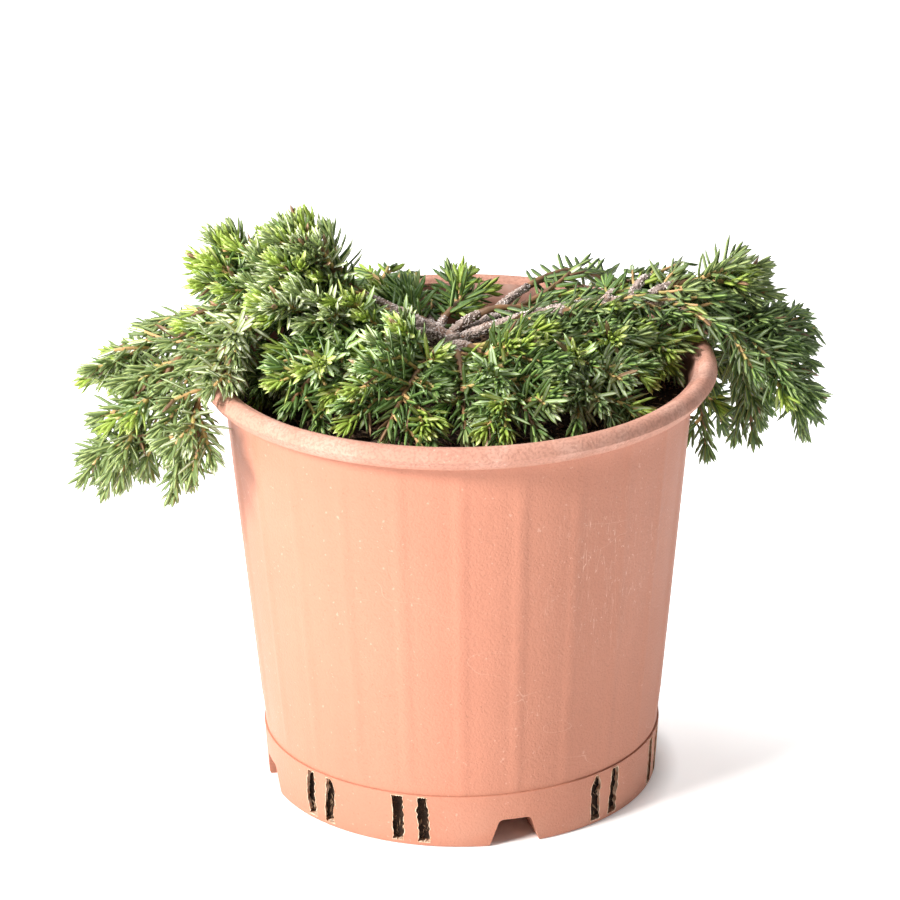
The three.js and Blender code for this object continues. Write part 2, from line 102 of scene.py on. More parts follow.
# Fine roots behind each pair of slots: how many, how far to the side in degrees, how deep and long
ROOTS = {"count": 46, "spread": 5.6, "margin": 1 * MM, "deep": (0.1, 0.5),
         "size": (0.8 * MM, 2.4 * MM), "shape": (0.2, 0.14, 1), "lean": 0.9}
SOIL_LEVEL = 168 * MM
COMPOST = {"sides": 120, "rings": 26, "crumbs": 4200, "fibres": 1000, "edge": 1.5 * MM,
           "crumb": (0.5 * MM, 1.9 * MM), "crumb_shape": (1, 0.8, 0.65), "crumb_lift": 0.2 * MM,
           "fibre": (1.8 * MM, 4.6 * MM), "fibre_shape": (1, 0.09, 0.09), "fibre_lift": 0.8 * MM}
# Waves of the compost's surface: along x and y in a sine, along y and x in a cosine, and how high
WAVES = (((151, 0, 1.3), (133, 0, 0.4), 1.6), ((403, 211, 0), (457, -97, 0), 0.9),
         ((911, -577, 2.1), (1013, 389, 0), 0.5))
MOUND = {"x": 95 * MM, "y": 4 * MM, "deep": 14 * MM, "wide": 22 * MM, "height": 8.5}

# Trunk, in millimetres as on the drawing: foot and top places, height and radii
TRUNK = {"foot": (4, 6), "top": (-4, 16), "height": 26, "flare": 9.5, "base": 6.4, "end": 4.2,
         "flare_share": 0.22, "level": 168.3, "arrive": (2, -3), "side": (0.0, 1.0, 0.0)}
HANDLE = 0.38
GAP = 0.3
WOOD = {"base": 1.9, "end": 1.5, "sides": 18, "ring": 0.5, "rough": 0.11, "ridge": 0.055,
        "knob_pitch": 6, "knob": 0.3, "knob_long": 0.035, "knob_wide": 0.75, "trunk_ridge": 0.05,
        "trunk_knobs": 14, "trunk_sides": 40, "trunk_rings": 44}
# Ridges of bark: how often round a limb and along it, and how strong
RIDGES = ((3, 5, 1), (5, -9, 0.7), (1, 31, 0.6), (2, -53, 0.5))
# Scales of bark: how many, how many times denser on the trunk, how much denser towards the hub
FLAKE = {"count": 14000, "at_trunk": 5, "crowd": 1.8, "lift": 1.03, "size": (0.3 * MM, 0.95 * MM),
         "shape": (1, 0.6, 0.4), "lean": 0.6}
SEED = {"crumbs": 78, "fibres": 79, "compost": 77, "roots": 91, "root_shapes": 92, "flakes": 63,
        "flake_shapes": 64, "trunk": 5, "bough": 100, "slot": (4001, 37), "mass": (1009, 97),
        "finer": (7001, 113)}

# Side shoots, finer shoots between them, their twigs and the sprigs on a bough, in millimetres
# and degrees
SHOOT = {"lean": 50, "curl": 0.16, "least": 7, "first": 0.06, "last": 0.82, "wander": 1.5,
         "below": 0.35, "least_scale": 0.8, "more_scale": 0.4, "root_scale": 1.2, "taper": 0.6,
         "core": 1.8, "needle_reach": 5.0, "jitter": 0.5, "bare": 0.04, "spare": 0.05,
         "steps": 12, "sure": 0.2}
FINER = {"first": 0.02, "run": 0.9, "least_scale": 0.6, "more_scale": 0.45, "root_scale": 1.1,
         "taper": 0.5}
TWIG = {"pitch": 14, "first": 0.3, "run": 0.5, "wander": 1.4, "least": 12, "more": 6,
        "root_scale": 1.1, "taper": 0.4, "lean": 44, "shortest": 6}
SPRIG = {"pitch": 3.0, "least": 7, "more": 8, "bare": 14.0, "droop": 0.5, "rise": 9.5, "tip": 5.0}
# Radius at the root and at the end and leafless share, of a stem, a shoot, a twig and a sprig
STEM, SIDE, SMALL, LONE = range(4)
ORDERS = ((1.7, 0.8, 0.04), (1.1, 0.65, 0.08), (0.8, 0.5, 0.1), (0.9, 0.5, 0.12))
TUBE = {"pitch": 4, "rings": 4, "sides": 6, "ripple": 0.12, "ripples": 2.3, "lobes": 3,
        "point": 0.6}
# Where a mass departs from its drawing: length, wander, lean and underside share of its finer
# shoots, the shares of its stem that stay bare and that grow, how far it keeps inside its left and
# right end and its underside, how far its top is lower, where the sprigs on its bough begin, and
# how high a needle may reach, which falls off at a slope from a distance on
LOOK = {
    "left_low": {"spray": 1.5, "wander": 2.4, "below": 0.75, "stem": 0.96, "inset": (7, 0, -8)},
    "left_under": {"spray": 1.5, "wander": 2.4, "below": 0.75, "stem": 0.92, "inset": (0, 0, 9)},
    "left": {"stem": 0.97, "inset": (2, 0, 0), "lower": 4, "ceiling": (209, 110, 0.36)},
    "left_shoulder": {"spray": 0.85, "lower": 6, "ceiling": (209, 110, 0.36)},
    "hub_left": {"spray": 1.7, "lean": 66, "inset": (0, -8, 0)},
    "hub_down": {"spray": 1.8, "lean": 70, "inset": (-10, 0, 0)},
    "front": {"spray": 1.7, "lean": 62}, "front_right": {"spray": 1.6, "lean": 62},
    "front_low": {"spray": 1.7, "lean": 62}, "inner_left": {"spray": 1.4},
    "left_top": {"spray": 1.15, "wander": 2.0, "inset": (0, 5, 0)},
    "left_crest": {"spray": 1.4, "stem": 0.88, "inset": (10, 0, 0), "lower": 1, "wander": 2.2,
                   "below": 0.15},
    "inner_right": {"spray": 1.6, "lean": 62}, "right_inner": {"spray": 1.5},
    "right": {"stem": 0.94, "inset": (0, 7, 0), "ceiling": (212, 143, 1.8)},
    "right_mid": {"stem": 0.97, "inset": (0, 5, 0), "ceiling": (204, 143, 1.8)},
    "right_crest": {"bare": 0.25, "ceiling": (232, 140, 1.8)},
    "right_under": {"ceiling": (212, 0, 0)}, "right_shoulder": {"ceiling": (215, 0, 0)},
    "back_outer": {"spray": 0.7, "lower": 9, "sprigs": 1, "ceiling": (204, 0, 0)},
    "back_right": {"spray": 0.8, "bare": 0.4, "lower": 8, "sprigs": 1, "inset": (9, 0, 0),
                   "ceiling": (208, 0, 0)},
    "back_middle": {"lower": 5, "ceiling": (197, 0, 0)},
    "centre_reach": {"spray": 1.25, "stem": 0.92, "inset": (0, 15, 0)},
    "centre_top": {"spray": 1.2}, "centre_right": {"lower": 4, "ceiling": (203, 0, 0)},
}
HUB = {"slope": 22, "steps": (2, 10, 18, 26, 34), "radius": 10, "shape": (1.7, 1.0, 0.9),
       "shift": (3, 0, -3)}
CLEAR = {"pot": 0.8, "soil": 1.2, "limb": 0.5, "blend": 12.0, "over": 3.0,
         "below": (3, 0, 0), "above": (3, 3, 8), "needle_pot": 0.4, "needle_soil": 0.3}

# One row for each limb: parent, place along it, azimuth, reach, height, slopes where it leaves
# and arrives, sway, leafless share, side shoots, their length, tint, share of fresh tips. The
# tint is painted light and shade: pale mostly on the lit left and top, deep mostly on the shaded
# right, underside and back.
LIMBS = (
    ("left", "trunk", 0.86, 177, 154, 176, 14, -40, 0, 0.64, 7, 28, "pale", 0.16),
    ("left_top", "trunk", 0.97, 168, 76, 240, 30, 52, -4, 0.46, 8, 29, "pale", 0.42),
    ("left_crest", "left_top", 0.5, 168, 118, 230, 6, 24, 6, 0.3, 7, 29, "pale", 0.5),
    ("left_shoulder", "left", 0.7, 165, 138, 193, 36, -22, 5, 0.22, 6, 24, "pale", 0.25),
    ("left_low", "left", 0.9, 187, 155, 132, 6, -66, 8, 0.22, 6, 24, "pale", 0.08),
    ("left_under", "left", 0.78, 199, 127, 142, 58, -114, 8, 0.24, 6, 22, "pale", 0.05),
    ("inner_left", "left", 0.38, 188, 90, 183, 24, -34, 6, 0.2, 6, 24, "mid", 0.5),
    ("hub_left", "trunk", 0.9, 213, 87, 183, 34, -38, -4, 0.24, 7, 26, "mid", 0.5),
    ("hub_down", "trunk", 0.78, 247, 81, 181, 26, -40, 4, 0.26, 7, 27, "mid", 0.3),
    ("front", "trunk", 0.7, 272, 72, 179, 30, -42, 0, 0.24, 6, 24, "mid", 0.3),
    ("front_right", "trunk", 0.84, 294, 84, 180, 26, -38, -4, 0.26, 6, 26, "mid", 0.2),
    ("front_low", "right", 0.26, 318, 87, 180, 2, -26, 5, 0.16, 6, 26, "deep", 0.2),
    ("inner_right", "right", 0.4, 350, 76, 194, 24, -12, -3, 0.2, 6, 23.5, "pale", 0.6),
    ("centre_right", "trunk", 0.98, 38, 58, 195, 44, -22, 2, 0.3, 6, 22, "deep", 0.1),
    ("right", "trunk", 0.9, 14, 162, 175, 22, -38, -4, 0.62, 7, 28, "deep", 0.12),
    ("right_crest", "right", 0.8, 15, 144, 203, 34, -8, 4, 0.22, 5, 19.5, "pale", 0.3),
    ("right_shoulder", "right", 0.64, 29, 98, 203, 34, 24, 4, 0.22, 6, 24, "mid", 0.1),
    ("right_mid", "right", 0.8, 7, 158, 150, -4, -66, -9, 0.2, 6, 24, "deep", 0.12),
    ("right_low", "right", 0.86, 18, 136, 132, 4, -90, 7, 0.2, 7, 25.5, "deep", 0.05),
    ("right_under", "right", 0.74, 31, 129, 116, 38, -98, 8, 0.22, 6, 23, "deep", 0.03),
    ("back_right", "trunk", 0.94, 50, 82, 209, 14, 26, -3, 0.46, 7, 25, "mid", 0.1),
    ("back_outer", "back_right", 0.5, 57, 136, 162, 10, -90, 7, 0.28, 5, 16, "deep", 0.1),
    ("centre_top", "trunk", 0.94, 126, 60, 203, 20, 34, -3, 0.34, 6, 22, "mid", 0.3),
    ("centre_reach", "centre_top", 0.5, 71, 59, 202, 20, 0, 6, 0.16, 5, 20, "mid", 0.7),
    ("back_middle", "trunk", 0.74, 112, 112, 193, 16, -6, 0, 0.4, 6, 20, "deep", 0.2),
    ("back_left", "trunk", 0.82, 142, 132, 170, 28, -62, 7, 0.5, 6, 26, "mid", 0.2),
    ("inner_top", "left_top", 0.3, 186, 86, 208, 0, -30, 6, 0.16, 7, 25, "pale", 0.35),
    ("right_inner", "right", 0.6, 3, 90, 184, -16, -56, 0, 0.16, 6, 21.5, "pale", 0.45),
)

# One needle: rings of (length, width), then its section, and how it bends. Its bands give each face
# a skin; the keel's flat face takes the margins' colour, a painted highlight along the keel.
NEEDLE = {"rings": ((0.0, 0.5), (0.22, 1.0), (0.74, 0.88)), "margin": 0.5, "channel": 0.12,
          "keel": 0.42, "keel_half": 0.12, "bend": 0.1, "bands": (1, 2, 1, 0, 1, 0),
          "narrowest": 0.85, "probes": (0.45, 0.75, 1.0), "most": 5800}
# Needles on a shoot: turn from whorl to whorl, flattening of the spray, lean in degrees at the
# root and how much less of it at the end, sizes, and what the jitters are
WHORL = {"turn": 64, "flat": 0.34, "lean": 60, "less": 25, "size": (0.78, 1.06), "shorter": 0.3,
         "on_twig": 0.9, "shift": 0.006, "swing": 0.12, "nod": 0.07}
# The tuft at a shoot's tip, and the length of a fresh tip
TUFT = {"count": 9, "place": 0.985, "turn": 2.4, "lean": (8, 38), "nod": 0.05, "size": (0.52, 0.74),
        "fresh": 7, "paler": 0.5, "dry": 0.018}
# Parts of a needle's skin, with how rough they are: keeled back, margins, stripe between them.
# The margins' skin also lies on the keel's flat face as a painted highlight.
NEEDLE_SKINS = (("Needle", 0.42), ("Needle Margin And Keel Highlight", 0.42), ("Needle Stripe", 0.5))
# Needle tints: the colours of these three. Deep, mid and pale are shaded, plain and lit copies of
# one green, laid on limbs by how light falls on them: painted shade and painted light. Fresh and
# dry are the colours of young and dead needles.
TINTS = {
    "deep": ((0.105, 0.165, 0.055), (0.29, 0.4, 0.12), (0.62, 0.72, 0.5)),
    "mid": ((0.1, 0.18, 0.045), (0.29, 0.43, 0.1), (0.62, 0.76, 0.47)),
    "pale": ((0.18, 0.25, 0.085), (0.43, 0.51, 0.18), (0.84, 0.9, 0.68)),
    "fresh": ((0.28, 0.4, 0.06), (0.46, 0.56, 0.11), (0.72, 0.78, 0.36)),
    "dry": ((0.2, 0.11, 0.06), (0.34, 0.2, 0.1), (0.5, 0.34, 0.22)),
}


def length_setting(name, description, default, **more):
    return FloatProperty(
        name=name, description=description, default=default, unit='LENGTH', **more)


def colour_setting(name, description, default):
    return FloatVectorProperty(
        name=name, description=description, default=default, subtype='COLOR')


class JuniperPlantSettings(bpy.types.PropertyGroup):
    """Sizes and colours of the plant"""
    needle_length: length_setting(
        "Needle Length", "Length of a full-grown needle", 14.4 * MM, min=2 * MM)
    needle_width: length_setting(
        "Needle Width", "Width of a full-grown needle", 2.25 * MM, min=0.2 * MM)
    whorl_gap: length_setting(
        "Whorl Gap", "Distance between two whorls of three needles", 3.2 * MM, min=1 * MM)
    fullness: FloatProperty(
        name="Fullness", description="Side shoots grown for each one of the drawing",
        default=2.6, min=1.0, max=4.0)
    seed: IntProperty(name="Seed", description="Start of the needles' random draws", default=41)
    bark: colour_setting("Bark", "Colour of the old stems", (0.4, 0.31, 0.27))
    shoot: colour_setting("Shoot", "Colour of this year's twigs", (0.62, 0.37, 0.17))


class JuniperPotSettings(bpy.types.PropertyGroup):
    """Sizes and colours of the pot and its compost"""
    sides: IntProperty(
        name="Sides", description="Corners round the pot", default=240, min=48, max=480)
    bands: IntProperty(
        name="Bands", description="Faint upright bands round the wall", default=24, min=3)
    band_relief: length_setting("Band Relief", "How far a band's edge stands out", 0.6 * MM)
    plastic: colour_setting("Plastic", "Colour of the terracotta plastic", (0.5, 0.21, 0.136))
    dusty: colour_setting("Dusty Rim", "Colour of the rubbed and dusty rim", (0.565, 0.32, 0.25))
    # Compost colour: near-black, darker than the compost's brown in light; moist compost's own dark
    # colour with painted shade.
    compost: colour_setting("Compost", "Colour of the moist compost", (0.024, 0.015, 0.011))


class JuniperStageSettings(bpy.types.PropertyGroup):
    """Camera, lights and floor"""
    distance: length_setting("Distance", "From the camera to the point it looks at", 1.856)
    elevation: FloatProperty(
        name="Elevation", description="How steeply the camera looks down",
        default=math.radians(21.56), subtype='ANGLE')
    roll: FloatProperty(
        name="Roll", description="Turn of the camera about its own view",
        default=math.radians(-0.57), subtype='ANGLE')
    lens: FloatProperty(name="Lens", description="Focal length in millimetres", default=173.24)
    floor: colour_setting("Floor", "Colour of the floor", (0.93, 0.93, 0.93))


# Mesh helpers

def deselect_all():
    if bpy.context.mode != 'OBJECT':
        bpy.ops.object.mode_set(mode='OBJECT')
    bpy.ops.object.select_all(action='DESELECT')


def activate(obj):
    deselect_all()
    obj.select_set(True)
    bpy.context.view_layer.objects.active = obj


def apply_modifiers(obj):
    activate(obj)
    for modifier in list(obj.modifiers):
        bpy.ops.object.modifier_apply(modifier=modifier.name)


def settle(obj):
    """Moves the object's place into its mesh, so that it sits at the origin."""
    activate(obj)
    bpy.ops.object.transform_apply(location=True, rotation=True, scale=True)


@contextmanager
def editing(kind=None, select=None):
    """Edit mode, with a kind of element to pick and what is picked at first."""
    bpy.ops.object.mode_set(mode='EDIT')
    if kind:
        bpy.ops.mesh.select_mode(type=kind)
    if select:
        bpy.ops.mesh.select_all(action=select)
    yield
    bpy.ops.object.mode_set(mode='OBJECT')


def pick_none(kind):
    with editing(kind, 'DESELECT'):
        pass


def face_outward(obj):
    activate(obj)
    with editing(select='SELECT'):
        bpy.ops.mesh.normals_make_consistent(inside=False)


def finish_piece(obj, name, nodes=()):
    obj.name = name
    obj.data.name = name
    settle(obj)
    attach(obj, "root")
    if nodes:
        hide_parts(*nodes)
    return obj


def lathe_piece(name, profile, sides, material):
    """A turned piece: a disc that is extruded and resized along a profile of (radius, height)."""
    deselect_all()
    radius, height = profile[0]
    bpy.ops.mesh.primitive_circle_add(
        vertices=sides, radius=radius, fill_type='NGON', location=(0, 0, height))
    obj = bpy.context.object
    obj.name = name
    settle(obj)
    with editing('FACE', 'SELECT'):
        for next_radius, next_height in profile[1:]:
            rise = next_height - height
            bpy.ops.mesh.extrude_region_move(TRANSFORM_OT_translate={"value": (0, 0, rise)})
            ratio = next_radius / radius
            bpy.ops.transform.resize(
                value=(ratio, ratio, 1), center_override=(0, 0, next_height))
            radius, height = next_radius, next_height
    face_outward(obj)
    obj.data.materials.append(material)
    return obj


def boolean(target, cutter, operation='DIFFERENCE'):
    modifier = target.modifiers.new("cut", 'BOOLEAN')
    modifier.object = cutter
    modifier.operation = operation
    modifier.solver = 'EXACT'
    modifier.material_mode = 'TRANSFER'
    apply_modifiers(target)


def remove(obj):
    mesh = obj.data
    bpy.data.objects.remove(obj)
    bpy.data.meshes.remove(mesh)


def copy_turned(obj, angle):
    twin = obj.copy()
    twin.data = obj.data.copy()
    bpy.context.collection.objects.link(twin)
    twin.rotation_euler = (0, 0, angle)
    settle(twin)
    return twin


def join(objects):
    deselect_all()
    for obj in objects:
        obj.select_set(True)
    bpy.context.view_layer.objects.active = objects[0]
    bpy.ops.object.join()
    return bpy.context.object


def mesh_from_arrays(name, points, faces, material_rows, materials):
    """A mesh object from an array of points and, for each group of faces, an array of corners."""
    mesh = bpy.data.meshes.new(name)
    sizes = np.concatenate([np.full(len(rows), rows.shape[1]) for rows in faces])
    corners = np.concatenate([rows.ravel() for rows in faces])
    mesh.vertices.add(len(points))
    mesh.vertices.foreach_set("co", np.asarray(points, np.float32).ravel())
    mesh.loops.add(len(corners))
    mesh.loops.foreach_set("vertex_index", corners.astype(np.int32))
    mesh.polygons.add(len(sizes))
    starts = np.concatenate([[0], np.cumsum(sizes)[:-1]])
    mesh.polygons.foreach_set("loop_start", starts.astype(np.int32))
    mesh.polygons.foreach_set("material_index", np.concatenate(material_rows).astype(np.int32))
    mesh.update(calc_edges=True)
    mesh.validate()
    for material in materials:
        mesh.materials.append(material)
    obj = bpy.data.objects.new(name, mesh)
    bpy.context.collection.objects.link(obj)
    return obj


# Shader helpers

def node(tree, kind, **values):
    made = tree.nodes.new(kind)
    for key, value in values.items():
        setattr(made, key, value)
    return made


def linked(tree, *pairs):
    for source, target in pairs:
        tree.links.new(source, target)


def number_group(name, numbers, result):
    """A node group from a vector and some numbers to one number, with its two ends."""
    group = bpy.data.node_groups.new(name, 'ShaderNodeTree')
    group.interface.new_socket("Vector", in_out='INPUT', socket_type='NodeSocketVector')
    for label, default in numbers.items():
        socket = group.interface.new_socket(
            label, in_out='INPUT', socket_type='NodeSocketFloat')
        socket.default_value = default
    group.interface.new_socket(result, in_out='OUTPUT', socket_type='NodeSocketFloat')
    given, out = node(group, 'NodeGroupInput').outputs, node(group, 'NodeGroupOutput').inputs
    return group, given, out[result]


def mottle_group():
    """Soft patches: a mask from noise, with its edge sharpness as an input."""
    name = "Juniper Mottle"
    if name not in bpy.data.node_groups:
        group, given, out = number_group(
            name, {"Scale": 20.0, "Detail": 4.0, "From": 0.4, "To": 0.6}, "Mask")
        noise, ramp = node(group, 'ShaderNodeTexNoise'), node(group, 'ShaderNodeMapRange')
        for label in ("Vector", "Scale", "Detail"):
            linked(group, (given[label], noise.inputs[label]))
        linked(group, (noise.outputs["Fac"], ramp.inputs["Value"]),
               (given["From"], ramp.inputs["From Min"]), (given["To"], ramp.inputs["From Max"]),
               (ramp.outputs["Result"], out))
    return bpy.data.node_groups[name]


def relief_group():
    """Two sizes of grain added into one height."""
    name = "Juniper Relief"
    if name not in bpy.data.node_groups:
        group, given, out = number_group(
            name, {"Coarse": 60.0, "Fine": 400.0, "Fine Share": 0.4}, "Height")
        total = node(group, 'ShaderNodeMath', operation='MULTIPLY_ADD')
        for scale, place in (("Coarse", 2), ("Fine", 0)):
            noise = node(group, 'ShaderNodeTexNoise')
            noise.inputs["Detail"].default_value = 4
            linked(group, (given["Vector"], noise.inputs["Vector"]),
                   (given[scale], noise.inputs["Scale"]),
                   (noise.outputs["Fac"], total.inputs[place]))
        linked(group, (given["Fine Share"], total.inputs[1]), (total.outputs[0], out))
    return bpy.data.node_groups[name]


class Shader:
    """A material under construction: a Principled shader with masks mixed into its colour."""

    def __init__(self, name, colour, roughness):
        self.material = bpy.data.materials.new(name)
        self.material.use_nodes = True
        self.tree = self.material.node_tree
        self.shader = self.tree.nodes["Principled BSDF"]
        self.shader.inputs["Base Color"].default_value = (*colour, 1)
        self.shader.inputs["Roughness"].default_value = roughness
        self.vector = node(self.tree, 'ShaderNodeTexCoord').outputs["Object"]
        self.colour = None
        self.base = colour

    def link(self, source, target):
        self.tree.links.new(source, target)

    def stretched(self, scale):
        mapping = node(self.tree, 'ShaderNodeMapping')
        mapping.inputs["Scale"].default_value = scale
        self.link(self.vector, mapping.inputs["Vector"])
        return mapping.outputs["Vector"]

    def shared(self, group, values, vector=None):
        """The result of a node group with these values for its inputs."""
        made = node(self.tree, 'ShaderNodeGroup', node_tree=group)
        self.link(vector or self.vector, made.inputs["Vector"])
        for label, value in values.items():
            made.inputs[label].default_value = value
        return made.outputs[0]

    def mottle(self, scale, low, high, detail=4.0, vector=None):
        values = {"Scale": scale, "Detail": detail, "From": low, "To": high}
        return self.shared(mottle_group(), values, vector)

    def hairline(self, scale, width, vector):
        """Thin lines where a noise crosses its middle value."""
        noise = node(self.tree, 'ShaderNodeTexNoise')
        self.link(vector, noise.inputs["Vector"])
        noise.inputs["Scale"].default_value = scale
        noise.inputs["Detail"].default_value = 1
        off = self.maths('ABSOLUTE', self.maths('SUBTRACT', noise.outputs["Fac"], 0.5))
        return self.ramp(off, width, width * 0.4)

    def axis(self, letter):
        split = node(self.tree, 'ShaderNodeSeparateXYZ')
        self.link(self.vector, split.inputs["Vector"])
        return split.outputs[letter]

    def ramp(self, value, low, high, start=0.0, end=1.0):
        ramp = node(self.tree, 'ShaderNodeMapRange')
        self.link(value, ramp.inputs["Value"])
        for label, number in (("From Min", low), ("From Max", high), ("To Min", start),
                              ("To Max", end)):
            ramp.inputs[label].default_value = number
        return ramp.outputs["Result"]

    def maths(self, operation, first, second=None):
        made = node(self.tree, 'ShaderNodeMath', operation=operation)
        for socket, value in zip(made.inputs, (first, second)):
            if isinstance(value, (int, float)):
                socket.default_value = value
            elif value is not None:
                self.link(value, socket)
        return made.outputs[0]

    def times(self, first, second):
        return self.maths('MULTIPLY', first, second)

    def blot(self, place, radius):
        """A soft round mask about a place."""
        reach = node(self.tree, 'ShaderNodeVectorMath', operation='DISTANCE')
        self.link(self.vector, reach.inputs[0])
        reach.inputs[1].default_value = place
        return self.ramp(reach.outputs["Value"], radius, radius * 0.35)

    def mix(self, mask, colour, strength=1.0):
        """Lays a colour over what is there, where the mask is."""
        mixer = node(self.tree, 'ShaderNodeMix', data_type='RGBA')
        if strength != 1.0:
            mask = self.times(mask, strength)
        self.link(mask, mixer.inputs["Factor"])
        if self.colour is None:
            mixer.inputs["A"].default_value = (*self.base, 1)
        else:
            self.link(self.colour, mixer.inputs["A"])
        mixer.inputs["B"].default_value = (*colour, 1)
        self.colour = mixer.outputs["Result"]

    def roughness(self, mask, start, end):
        self.link(self.ramp(mask, 0, 1, start, end), self.shader.inputs["Roughness"])

    def relief(self, coarse, fine, share, strength, distance, extra=None):
        values = {"Coarse": coarse, "Fine": fine, "Fine Share": share}
        height = self.shared(relief_group(), values)
        if extra is not None:
            height = self.maths('ADD', height, extra)
        bump = node(self.tree, 'ShaderNodeBump')
        bump.inputs["Strength"].default_value = strength
        bump.inputs["Distance"].default_value = distance
        self.link(height, bump.inputs["Height"])
        self.link(bump.outputs["Normal"], self.shader.inputs["Normal"])

    def done(self):
        if self.colour is not None:
            self.link(self.colour, self.shader.inputs["Base Color"])
        return self.material


def shaded(colour, factor):
    return tuple(min(1.0, part * factor) for part in colour)


# Finishes

# Masks on the pot's plastic: scale, where the noise begins and where it ends to count, detail
POT_MASKS = {"patches": (11.0, 0.35, 0.7, 5.0), "grime": (70.0, 0.52, 0.68, 8.0),
             "dust": (38.0, 0.5, 0.66, 8.0), "grain": (850.0, 0.46, 0.62, 2.0),
             "specks": (700.0, 0.73, 0.76, 1.0), "pale_specks": (520.0, 0.73, 0.76, 1.0),
             "scuffed": (16.0, 0.56, 0.6, 2.0)}


def terracotta_material(settings):
    base = tuple(settings.plastic)
    work = Shader("Terracotta Plastic", base, 0.5)
    masks = {name: work.mottle(*values) for name, values in POT_MASKS.items()}
    joined = node(work.tree, 'ShaderNodeCombineXYZ')
    around = work.maths('ARCTAN2', work.axis("Y"), work.axis("X"))
    work.link(around, joined.inputs["X"])
    work.link(work.times(work.axis("Z"), 0.7), joined.inputs["Y"])
    masks["upright"] = work.mottle(9.0, 0.3, 0.75, 3.0, joined.outputs["Vector"])
    masks["rim"] = work.ramp(work.axis("Z"), RIM_UNDER - 1 * MM, RIM_UNDER + 2 * MM)
    masks["upright_lines"] = work.hairline(60.0, 0.007, work.stretched((8.0, 8.0, 0.35)))
    masks["rubbed"] = work.blot((66 * MM, -72 * MM, 120 * MM), 50 * MM)
    masks["curved_lines"] = work.hairline(26.0, 0.0016, work.stretched((1.0, 1.0, 1.6)))
    masks["foot"] = work.ramp(work.axis("Z"), 30 * MM, 0.0)
    for names, colour, strength in (
            (("patches",), shaded(base, 0.86), 0.6),
            (("upright",), shaded(base, 1.1), 0.35),
            (("rim",), tuple(settings.dusty), 0.55),
            (("grime", "rim"), (0.36, 0.2, 0.15), 0.45),
            (("dust", "rim"), (0.7, 0.46, 0.38), 0.4),
            (("grain", "rim"), (0.34, 0.17, 0.13), 0.42),
            (("grain",), shaded(base, 0.8), 0.16),
            (("specks",), (0.34, 0.15, 0.09), 0.5),
            (("pale_specks",), (0.75, 0.52, 0.42), 0.3),
            (("upright_lines", "rubbed"), (0.88, 0.62, 0.5), 0.5),
            (("curved_lines", "scuffed"), (0.86, 0.6, 0.48), 0.22),
            (("foot", "dust"), (0.5, 0.27, 0.19), 0.4)):
        work.mix(reduce(work.times, (masks[name] for name in names)), colour, strength)
    work.shader.inputs["Specular IOR Level"].default_value = 0.32
    gloss = work.maths(
        'ADD', work.ramp(masks["patches"], 0, 1, 0.5, 0.64), work.times(masks["rim"], 0.24))
    work.link(gloss, work.shader.inputs["Roughness"])
    pits = work.maths(
        'ADD', work.times(masks["rim"], masks["grime"]), work.times(masks["grain"], -0.5))
    work.relief(240.0, 1100.0, 0.9, 0.32, 0.0005, pits)
    return work.done()


def layered(name, colour, roughness, layers, relief=None, uneven=None, gloss=None):
    """A finish of soft patches over a colour, with its relief and its uneven roughness."""
    work = Shader(name, colour, roughness)
    if gloss is not None:
        work.shader.inputs["Specular IOR Level"].default_value = gloss
    for mask, tint, strength in layers:
        work.mix(work.mottle(*mask), tint, strength)
    if uneven:
        mask, low, high = uneven
        work.roughness(work.mottle(*mask), low, high)
    if relief:
        work.relief(*relief)
    return work.done()


def inside_material(settings):
    # The inner wall is the plastic's colour darkened, painted shade, under real mottled compost
    # stains and splashes, with dust up at the lip.
    work = Shader("Stained Inner Wall With Painted Shade", shaded(settings.plastic, 0.62), 0.6)
    stain = work.mottle(26.0, 0.38, 0.62, 7.0)
    work.mix(stain, (0.3, 0.1, 0.07), 0.75)
    splash = work.mottle(120.0, 0.6, 0.68, 4.0)
    work.mix(splash, (0.09, 0.05, 0.035), 0.7)
    dust = work.ramp(work.axis("Z"), RIM_UNDER - 6 * MM, RIM_UNDER + 6 * MM)
    work.mix(work.times(dust, work.mottle(60.0, 0.35, 0.6, 6.0)), (0.66, 0.4, 0.32), 0.7)
    work.relief(90.0, 700.0, 0.4, 0.3, 0.0006)
    return work.done()


def torn_material():
    return layered("Torn Pale Plastic", (0.6, 0.31, 0.19), 0.7,
                   [((420.0, 0.42, 0.56, 5.0), (0.8, 0.62, 0.46), 0.8)],
                   (300.0, 1200.0, 0.5, 0.5, 0.0005))


def compost_material(settings):
    # The near-black body colour is moist compost's own dark colour with painted shade; lit compost
    # would be browner.
    return layered("Moist Compost With Painted Shade", tuple(settings.compost), 0.9,
                   [((160.0, 0.42, 0.6, 8.0), (0.055, 0.032, 0.02), 0.7),
                    ((420.0, 0.62, 0.7, 4.0), (0.15, 0.1, 0.065), 0.5)],
                   (260.0, 1200.0, 0.6, 0.9, 0.0012), ((90.0, 0.3, 0.7), 0.7, 1.0), 0.15)


def crumb_material():
    return layered("Bark Crumbs", (0.15, 0.075, 0.04), 0.9,
                   [((210.0, 0.42, 0.58, 5.0), (0.035, 0.02, 0.014), 0.85)],
                   (500.0, 1600.0, 0.5, 0.6, 0.0004))


def fibre_material():
    return layered("Root Fibre", (0.3, 0.2, 0.12), 0.85,
                   [((240.0, 0.4, 0.6, 4.0), (0.12, 0.07, 0.04), 0.8)],
                   (500.0, 1600.0, 0.4, 0.4, 0.0003))


